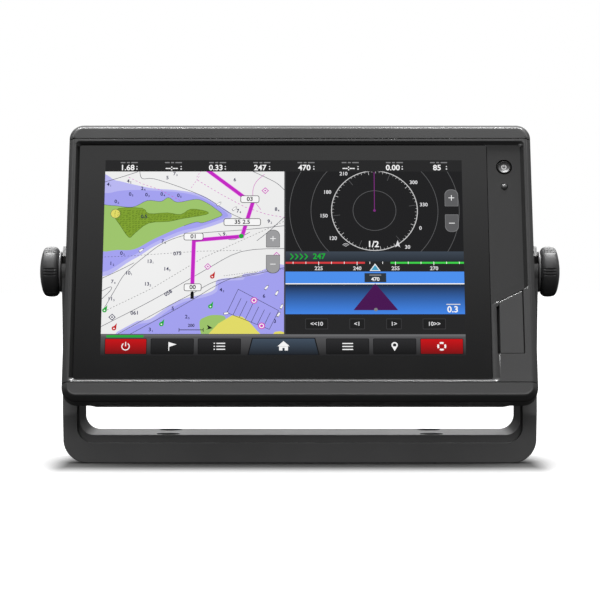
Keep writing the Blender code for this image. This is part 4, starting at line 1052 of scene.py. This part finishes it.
    for ink, u, v in (("magenta", 57.3, 63.2), ("magenta", 88.4, 18.3), ("magenta", 94.8, 56.6), ("navy", 5.8, 92.6)):
        for reach, tone, level in ((2.0, ink, 7), (1.4, "paper", 8), (0.6, ink, 9)):
            patch(tone, level, [(u - reach, v), (u, v - reach), (u + reach, v), (u, v + reach)], PANE)
    for u, v in ((82.6, 82.9), (86.8, 97.6)):
        for reach, tone, level in ((1.9, "magenta", 7), (1.35, "paper", 8), (0.8, "magenta", 9)):
            disc(tone, level, (u, v), reach, 24, PANE)
    first, last = ((68, 90), (74, 76.4)), ((91, 99.6), (96, 88.8))
    stroke("ink", 6, [first[1], last[1]], 0.24, PANE)
    stroke("ink", 6, [first[0], last[0]], 0.24, PANE)
    for n in range(8):
        share = n / 7
        a = tuple(first[0][k] + (last[0][k] - first[0][k]) * share for k in (0, 1))
        b = tuple(first[1][k] + (last[1][k] - first[1][k]) * share for k in (0, 1))
        reach = 1 if n in (0, 7) else 0.74
        stroke("ink", 6, [a, (a[0] + (b[0] - a[0]) * reach, a[1] + (b[1] - a[1]) * reach)], 0.24, PANE)
    for u, v, turn in ((89.4, 75.4, 50), (95, 78.6, 60), (97.6, 86.4, 62), (96, 91, 58), (63, 26.2, 40), (20.8, 53.6, 35), (71.6, 29, 36), (67.6, 90.4, 10)):
        c, d = math.cos(math.radians(turn)), -math.sin(math.radians(turn))
        hull = [(-1.2, -0.5), (0.7, -0.5), (1.4, 0), (0.7, 0.5), (-1.2, 0.5)]
        patch("line", 7, [(u + (x * c - y * d) * 1.22, v + (x * d + y * c) * 1.35) for x, y in hull], PANE)
        patch("paper", 8, [(u + x * c - y * d, v + x * d + y * c) for x, y in hull], PANE)
    slab("ink", 7, 42, 99.7, 55.4, 100.1)
    slab("ink", 7, 42, 98.8, 42.35, 101)
    slab("ink", 7, 55.1, 98.8, 55.45, 101)
    figures("200", "ink", 7, 48.7, 97.4, 1.6)
    patch("ink", 7, [(56.8, 99.8), (60.4, 98.9), (57.3, 97), (57.9, 98.9)])
    zoom_keys(10, 89, 96.6, ((41.6, 52), (56.4, 67.2)), ("button_dark", "button"), 3.4, (0.25, 0.35), 1.5)


def sign_at(ink, level, u, v, reach, sign):
    slab(ink, level, u - reach, v - 0.2, u + reach, v + 0.2)
    if sign == "+":
        slab(ink, level, u - 0.2, v - reach, u + 0.2, v - 0.2)
        slab(ink, level, u - 0.2, v + 0.2, u + 0.2, v + reach)


def zoom_keys(level, left, right, heights, inks, soft, rim, reach):
    """A plus key over a minus key, rounded at their far ends; rim is what shows above and below the face."""
    for (top, bottom), sign in zip(heights, "+-"):
        corners = [soft, soft, 0.4, 0.4] if sign == "+" else [0.4, 0.4, soft, soft]
        patch(inks[0], level, rounded(rectangle(left, top, right, bottom), corners, 6))
        inner = rectangle(left + 0.25, top + rim[0], right - 0.25, bottom - rim[1])
        patch(inks[1], level + 1, rounded(inner, corners, 6))
        sign_at("paper", level + 2, (left + right) / 2, (top + bottom) / 2, reach, sign)


def draw_radar():
    pane = (SPLIT, 6.8, WIDE, 54.3)
    centre = (148.5, 30.1)
    ring("ring_dim", 1, centre, 11.8, 0.3, steps=72)
    ring("ring_dim", 1, centre, 34.9, 0.3, steps=144, pane=pane)
    ring("ring_dim", 1, centre, 46.6, 0.3, steps=144, pane=pane)
    ring("ring", 2, centre, 23.6, 0.46, steps=144, pane=pane)
    for degree in range(0, 360, 5):
        a = math.radians(degree + 2)
        reach = 4.2 if degree % 60 == 20 else 1.9 if degree % 30 == 20 else 1.1 if degree % 10 == 0 else 0.7
        width = 0.24 if reach > 1.5 else 0.18
        ends = [(centre[0] + r * math.sin(a), centre[1] - r * math.cos(a)) for r in (23.4 - reach, 23.4)]
        stroke("ring" if reach < 4 else "ring_dim", 3, ends, width, pane)
    slab("heading", 4, centre[0] - 0.2, 7.2, centre[0] + 0.2, 30.1)
    disc("heading", 5, centre, 0.75)
    for text, u, v in (
        ("210", 131.6, 8.2), ("180", 122.6, 19.2), ("150", 120.6, 33.3), ("120", 125.6, 46.6),
        ("300", 170.2, 13.4), ("330", 175.6, 26.7), ("0", 173.6, 40.6), ("30", 166.4, 51.8),
    ):
        figures(text, "text", 4, u, v, 1.95)
    figures("1/2", "paper", 6, 147.6, 50.2, 3.3)
    for n in range(3):
        ring("text", 5, (132.6, 51.6), 0.5 + 0.75 * n, 0.24, -60, 60, 10)
    patch("text", 5, [(159.6, 51.9), (161, 47.6), (162.4, 51.9), (161, 50.9)])
    zoom_keys(6, 187.2, 194.6, ((17.6, 27.6), (32.5, 42.8)), ("text_dim", "button_dark"), 3.2, (0.3, 0.2), 1.6)


def draw_road():
    slab("slate", 1, SPLIT, 54.3, WIDE, 60.2)
    for n in range(4):
        u = 102 + 2.6 * n
        patch("route_green", 3, [(u, 55.6), (u + 0.8, 55.6), (u + 2.2, 57.3), (u + 0.8, 59), (u, 59), (u + 1.4, 57.3)])
    figures("247", "route_green", 3, 118, 57.3, 3.0)
    slab("data_bar", 1, SPLIT, 60.2, WIDE, 66.1)
    slab("tape_red", 3, SPLIT, 60.4, 143, 61.5)
    slab("tape_green", 3, 157, 60.4, WIDE, 61.5)
    for n in range(14):
        u = 103.8 + 6.98 * n
        slab("paper", 4, u - 0.17, 60.3, u + 0.17, 62.4 if n % 3 == 2 else 61.6)
    for text, u in (("225", 117.8), ("240", 138.8), ("255", 159.7), ("270", 180.7)):
        figures(text, "text", 4, u, 64.3, 2.0)
    patch("paper", 5, [(148.5, 61.4), (151.5, 65.7), (145.5, 65.7)])
    patch("pointer", 6, [(148.5, 62.2), (150.7, 65.3), (146.3, 65.3)])
    slab("sky_blue", 1, SPLIT, 66.1, WIDE, 72.9)
    slab("label_box", 3, 142.7, 67, 154.5, 72.3)
    slab("text_dim", 4, 145.4, 67.8, 151.8, 68.5)
    figures("470", "paper", 4, 148.6, 70.6, 2.0)
    slab("paper", 2, SPLIT, 72.9, WIDE, 73.5)
    slab("road_sky", 1, SPLIT, 73.5, WIDE, 90.8)
    patch("purple", 3, [(148.5, 73.0), (160.8, 88.5), (136.6, 88.5)])
    disc("text_dim", 4, (148.7, 88.2), 1.0)
    figures("0.3", "paper", 3, 190.4, 88.2, 3.3)
    slab("text", 3, 187, 84.9, 194.6, 85.4)
    slab("data_bar", 1, SPLIT, 90.8, WIDE, 102.4)
    for u, width, text in ((116.6, 12.2, "<<10"), (138.5, 8.2, "<1"), (158.4, 8.2, "1>"), (180.2, 12.4, "10>>")):
        slab("key_edge", 2, u - width / 2, 93.4, u + width / 2, 99.5, 0.4)
        slab("key_dark", 3, u - width / 2 + 0.25, 93.7, u + width / 2 - 0.25, 99.2, 0.3)
        figures(text, "text", 4, u, 96.5, 2.1)


def draw_bars():
    slab("dark_pane", 0.4, 0, 0, WIDE, TALL)
    slab("data_bar", 1, 0, 0, WIDE, 6.8)
    for n, text in enumerate(("1.68", "--:--", "0.33", "247", "470", "--:--", "0.00", "85")):
        u = 13.0 + 24.45 * n
        for k, width in enumerate((2.6, 1.6, 3.6)):
            start = u - 4.6 + (0, 3.4, 5.8)[k]
            slab("text_dim", 2, start, 1.1, start + width, 1.75)
        figures(text, "paper", 2, u - 0.8, 4.6, 3.0)
        disc("text", 2, (u + 4.4, 3.8), 0.35, 10)
        slab("text", 2, u + 4.05, 4.9, u + 4.75, 5.7)
    slab("bar_line", 1, 0, 102.4, WIDE, 103.6)
    slab("green", 2, 3, 102.9, 23, 104.2)
    slab("soft_bar", 1, 0, 103.6, WIDE, TALL)
    keys = (
        (2.5, 24.6, "soft_red"), (27.3, 50, "soft_key"), (52.7, 75.4, "soft_key"),
        (121.9, 144.6, "soft_key"), (147.3, 170, "soft_key"), (172.7, 195.4, "soft_red"),
    )
    for left, right, ink in keys:
        slab("ink", 2, left - 0.3, 104.8, right + 0.3, 113.9, 0.6)
        slab(ink, 3, left, 105.1, right, 113.6, 0.4)
    patch("ink", 2, [(81.6, 104.4), (115.8, 104.4), (118.2, 114.3), (79.2, 114.3)])
    patch("soft_slate", 3, [(82.1, 104.9), (115.3, 104.9), (117.5, 114), (79.9, 114)])
    middle = 109.3
    ring("paper", 4, (13.5, middle + 0.1), 2.0, 0.55, 35, 325, 28)
    slab("paper", 5, 13.25, middle - 2.5, 13.75, middle)
    slab("paper", 4, 36.6, middle - 2.4, 37.05, middle + 2.5)
    patch("paper", 4, [(37.05, middle - 2.3), (41, middle - 1.1), (37.05, middle + 0.3)])
    for n in range(3):
        slab("paper", 4, 61, middle - 2 + 1.7 * n, 61.7, middle - 1.4 + 1.7 * n)
        slab("paper", 4, 62.5, middle - 2 + 1.7 * n, 67.2, middle - 1.4 + 1.7 * n)
    patch("paper", 4, [(98.7, middle - 3), (102, middle), (95.4, middle)])
    patch("paper", 4, [(96.3, middle + 0.1), (98.1, middle + 0.1), (98.1, middle + 2.4), (96.3, middle + 2.4)])
    patch("paper", 4, [(99.3, middle + 0.1), (101.1, middle + 0.1), (101.1, middle + 2.4), (99.3, middle + 2.4)])
    patch("paper", 4, [(98.1, middle + 0.1), (99.3, middle + 0.1), (99.3, middle + 0.9), (98.1, middle + 0.9)])
    for n in range(3):
        slab("paper", 4, 130.4, middle - 1.9 + 1.7 * n, 136.2, middle - 1.3 + 1.7 * n)
    ring("paper", 4, (158.6, middle - 0.7), 1.35, 0.75, steps=28)
    patch("paper", 5, [(157.1, middle + 0.1), (160.1, middle + 0.1), (158.6, middle + 2.7)])
    ring("paper", 4, (184, middle), 1.95, 1.0, steps=32)
    for n in range(4):
        ring("red", 5, (184, middle), 1.95, 1.02, 90 * n + 30, 90 * n + 60, 3)


def make_picture():
    draw_bars()
    draw_chart()
    draw_radar()
    draw_road()
    slab("key_edge", 3, 98.9, 6.8, SPLIT, 102.4)
    inks = {}
    for (ink, level), bm in sorted(SHEETS.items()):
        if ink not in inks:
            if ink in SHADED:
                upper, lower, top, bottom = SHADED[ink]
                inks[ink] = lit("picture_" + ink, linear(*upper), linear(*lower), top, bottom)
            else:
                inks[ink] = lit("picture_" + ink, linear(*INKS[ink]))
        piece = held(f"picture_{ink}_{round(level * 10)}", bm)
        place(piece, inks[ink], "display")


make_glass()
make_picture()

# ---------------------------------------------------------------- back and sides


def refined(node, body, material, width=0.3, segments=2, angle=40, smooth=35):
    """A finer copy of a CAD node, with its edges rounded."""
    source = frame["nodes"][node]
    mesh = source.data.copy()
    mesh.transform(source.matrix_world)
    made = bpy.data.objects.new(node + "_fine", mesh)
    bpy.context.scene.collection.objects.link(made)
    soften(made, width, segments, angle, smooth)
    return place(made, material, body, [node])


def make_sockets():
    sockets = {"transducer_socket": 6, "network_socket_1": 4, "network_socket_2": 4, "backbone_socket": 5, "power_socket": 6}
    for name, pins in sockets.items():
        low, high = leaned_box(name)
        centre = ((low.x + high.x) / 2, (low.z + high.z) / 2)
        flange, rear = (high.x - low.x) / 2, high.y
        barrel, front = flange - 2, low.y
        bore, floor, seat = barrel - 1.8, rear - 9, low.y + 2
        profile = [(0, front), (flange, front), (flange, seat - 0.4), (flange - 0.12, seat - 0.12), (flange - 0.4, seat), (barrel + 0.3, seat), (barrel, seat + 0.3)]
        along = seat + 1.0
        while along < rear - 2.2:
            profile += [(barrel, along), (barrel - 0.35, along + 0.35), (barrel, along + 0.7)]
            along += 1.15
        profile += [(barrel, rear - 0.6), (barrel - 0.18, rear - 0.18), (barrel - 0.6, rear), (bore + 0.3, rear), (bore, rear - 0.3), (bore, floor), (0, floor)]
        socket = soften(spun(name + "_shell", profile, centre, steps=72), 0)
        place(socket, BLACK, "display", [name])
        reach = bore * 0.55
        for n in range(pins):
            a = 2 * math.pi * (n + 0.5) / pins
            spot_at = (centre[0] + reach * math.cos(a), centre[1] + reach * math.sin(a))
            profile = [(0, floor - 0.5), (0.62, floor - 0.5), (0.62, rear - 5.4), (0.5, rear - 5.1), (0.22, rear - 5), (0, rear - 5)]
            pin = soften(spun(f"{name}_pin_{n + 1}", profile, spot_at, steps=20), 0)
            place(pin, GOLD, "display")


make_sockets()
refined("rear_housing", "display", REAR, 0.5, 3)
refined("heat_sink", "display", SINK, 0.25, 2)
refined("breather_vent", "display", BLACK, 0.2, 2)

# ---------------------------------------------------------------- what the CAD nodes left over are made of
RIBBON = moulded("ribbon_film", (0.42, 0.2, 0.05), 0.35, grain=1500, depth=0.004)
PANEL = moulded("panel_glass", (0.03, 0.03, 0.034), 0.15, grain=800, depth=0.001)
FINISHES = (
    (STEEL, "screw pin cell"), (BRASS, "insert"), (SEAL, "gasket seal tape"), (BOARD, "board"),
    (SHEET, "chassis shield tray card_socket"), (CERAMIC, "antenna"), (PAD, "pad"), (RIBBON, "ribbon"), (PANEL, "lcd"),
)
for name, node in frame["nodes"].items():
    finish = next((material for material, words in FINISHES if any(word in name for word in words.split())), BLACK)
    for material_slot in node.material_slots:
        material_slot.material = finish

# ---------------------------------------------------------------- stage, light and camera


def set_world():
    """A soft studio sky: bright overhead, dim at eye level and below, plain white to the camera."""
    world = bpy.data.worlds.new("studio")
    bpy.context.scene.world = world
    world.use_nodes = True
    tree = world.node_tree
    tree.nodes.clear()
    height = added(tree, "SeparateXYZ", {0: added(tree, "TexCoord").outputs["Generated"]}).outputs["Z"]
    ramp = added(tree, "ValToRGB", {"Fac": spread(tree, height, 0, 1, -1, 1)})
    elements, most = ramp.color_ramp.elements, 2.4
    elements.remove(elements[1])
    stops = ((-1, 0.03), (-0.03, 0.05), (0.03, 0.2), (0.6, 0.21), (0.652, 0.25), (0.714, 1.1), (0.8, 1.5), (1, 1.9))
    for n, (z, level) in enumerate(stops):
        element = elements.new((z + 1) / 2) if n else elements[0]
        element.position = (z + 1) / 2
        element.color = (level / most, level / most, level / most, 1)
    sky = added(tree, "Background", {"Strength": most, "Color": ramp.outputs["Color"]}).outputs[0]
    plain = added(tree, "Background", {"Color": (1, 1, 1, 1)}).outputs[0]
    seen = added(tree, "LightPath").outputs["Is Camera Ray"]
    mix = added(tree, "MixShader", {"Fac": seen, 1: sky, 2: plain})
    added(tree, "OutputWorld", {"Surface": mix.outputs[0]})


def set_floor():
    """A white floor with a painted contact shadow: it is darker and glows less near the base, and it gives the object
    no light.
    """
    bm = bmesh.new()
    far = 4000
    bm.faces.new([bm.verts.new((x * far, y * far, -0.2)) for x, y in ((-1, -1), (1, -1), (1, 1), (-1, 1))])
    floor = held("studio_floor", bm, leaned=False)
    made, tree, shader = nodes_of("floor_paper_painted_shadow")
    near = added(tree, "TexCoord").outputs["Object"]
    for operation, amount in (
        ("ADD", (0, 0.025, 0)), ("ABSOLUTE", (0, 0, 0)), ("SUBTRACT", (0.126, 0.012, 0)),
        ("MAXIMUM", (0, 0, 0)), ("MULTIPLY", (8, 2, 0)),
    ):
        near = added(tree, "VectorMath", {0: near, 1: amount}, operation).outputs[0]
    away = added(tree, "VectorMath", {0: near}, "LENGTH").outputs["Value"]
    # painted contact shadow: the floor's colour falls to 0.35 near the base, and its glow fades there too
    paper = mixed(tree, spread(tree, away, 0, 1, 0, 0.08), (0.35, 0.35, 0.35), (0.93, 0.93, 0.93))
    looks = {"Base Color": paper, "Roughness": 0.9, "Specular IOR Level": 0.0, "Emission Color": (1, 1, 1, 1)}
    feed(tree, shader, {**looks, "Emission Strength": spread(tree, away, 0, 0.55, 0, 0.15)})
    floor.data.materials.append(made)
    floor.visible_diffuse = False
    floor.visible_glossy = False


def add_light(name, where, aim, size, power, missed):
    """A lamp aimed at a height over the middle, which doesn't light the floor or the pieces named."""
    data = bpy.data.lights.new(name, "AREA")
    data.shape = "RECTANGLE"
    data.size, data.size_y = size
    data.energy = power
    lamp = bpy.data.objects.new(name, data)
    lamp.location = where
    lamp.rotation_euler = (Vector((0, 0, aim)) - Vector(where)).to_track_quat("-Z", "Y").to_euler()
    lamp.visible_camera = False
    bpy.context.scene.collection.objects.link(lamp)
    unlit = bpy.data.collections.new(name + "_misses")
    for n, piece in enumerate(("studio_floor", *missed)):
        unlit.objects.link(bpy.data.objects[piece])
        unlit.collection_objects[n].light_linking.link_state = "EXCLUDE"
    lamp.light_linking.receiver_collection = unlit


def set_camera():
    elevation, distance = math.radians(1.45), 1.4813
    target = PIVOT + Vector((0.00007, 0, -0.0156))
    data = bpy.data.cameras.new("camera")
    data.lens, data.sensor_width = 161, 36
    data.clip_start, data.clip_end = 0.01, 50
    camera = bpy.data.objects.new("camera", data)
    camera.location = target + Vector((0, -math.cos(elevation), math.sin(elevation))) * distance
    camera.rotation_euler = (math.pi / 2 - elevation, 0, 0)
    bpy.context.scene.collection.objects.link(camera)
    bpy.context.scene.camera = camera


LAMPS = (  # name, place, height it is aimed at, size, watts, pieces it doesn't light
    ("rim_box", (0, 0.75, 1.0), 0.1, (1.4, 0.5), 22, ["top_trim_cap"]),
    ("front_box", (0, -1.9, 1.2), 0.08, (2.2, 0.45), 14, []),
    ("left_fill", (-2.1, 0.1, 1.5), 0.1, (1.4, 0.8), 8, []),
    ("right_fill", (2.1, 0.1, 1.5), 0.1, (1.4, 0.8), 8, []),
    ("left_box", (-0.385, 0.27, 1.37), 0.1, (0.15, 0.8), 30, ["bracket"]),
    ("right_box", (0.385, 0.27, 1.37), 0.1, (0.15, 0.8), 30, ["bracket"]),
)
set_world()
set_floor()
for lamp in LAMPS:
    add_light(*lamp)
set_camera()
bpy.context.scene.view_settings.view_transform = "Standard"
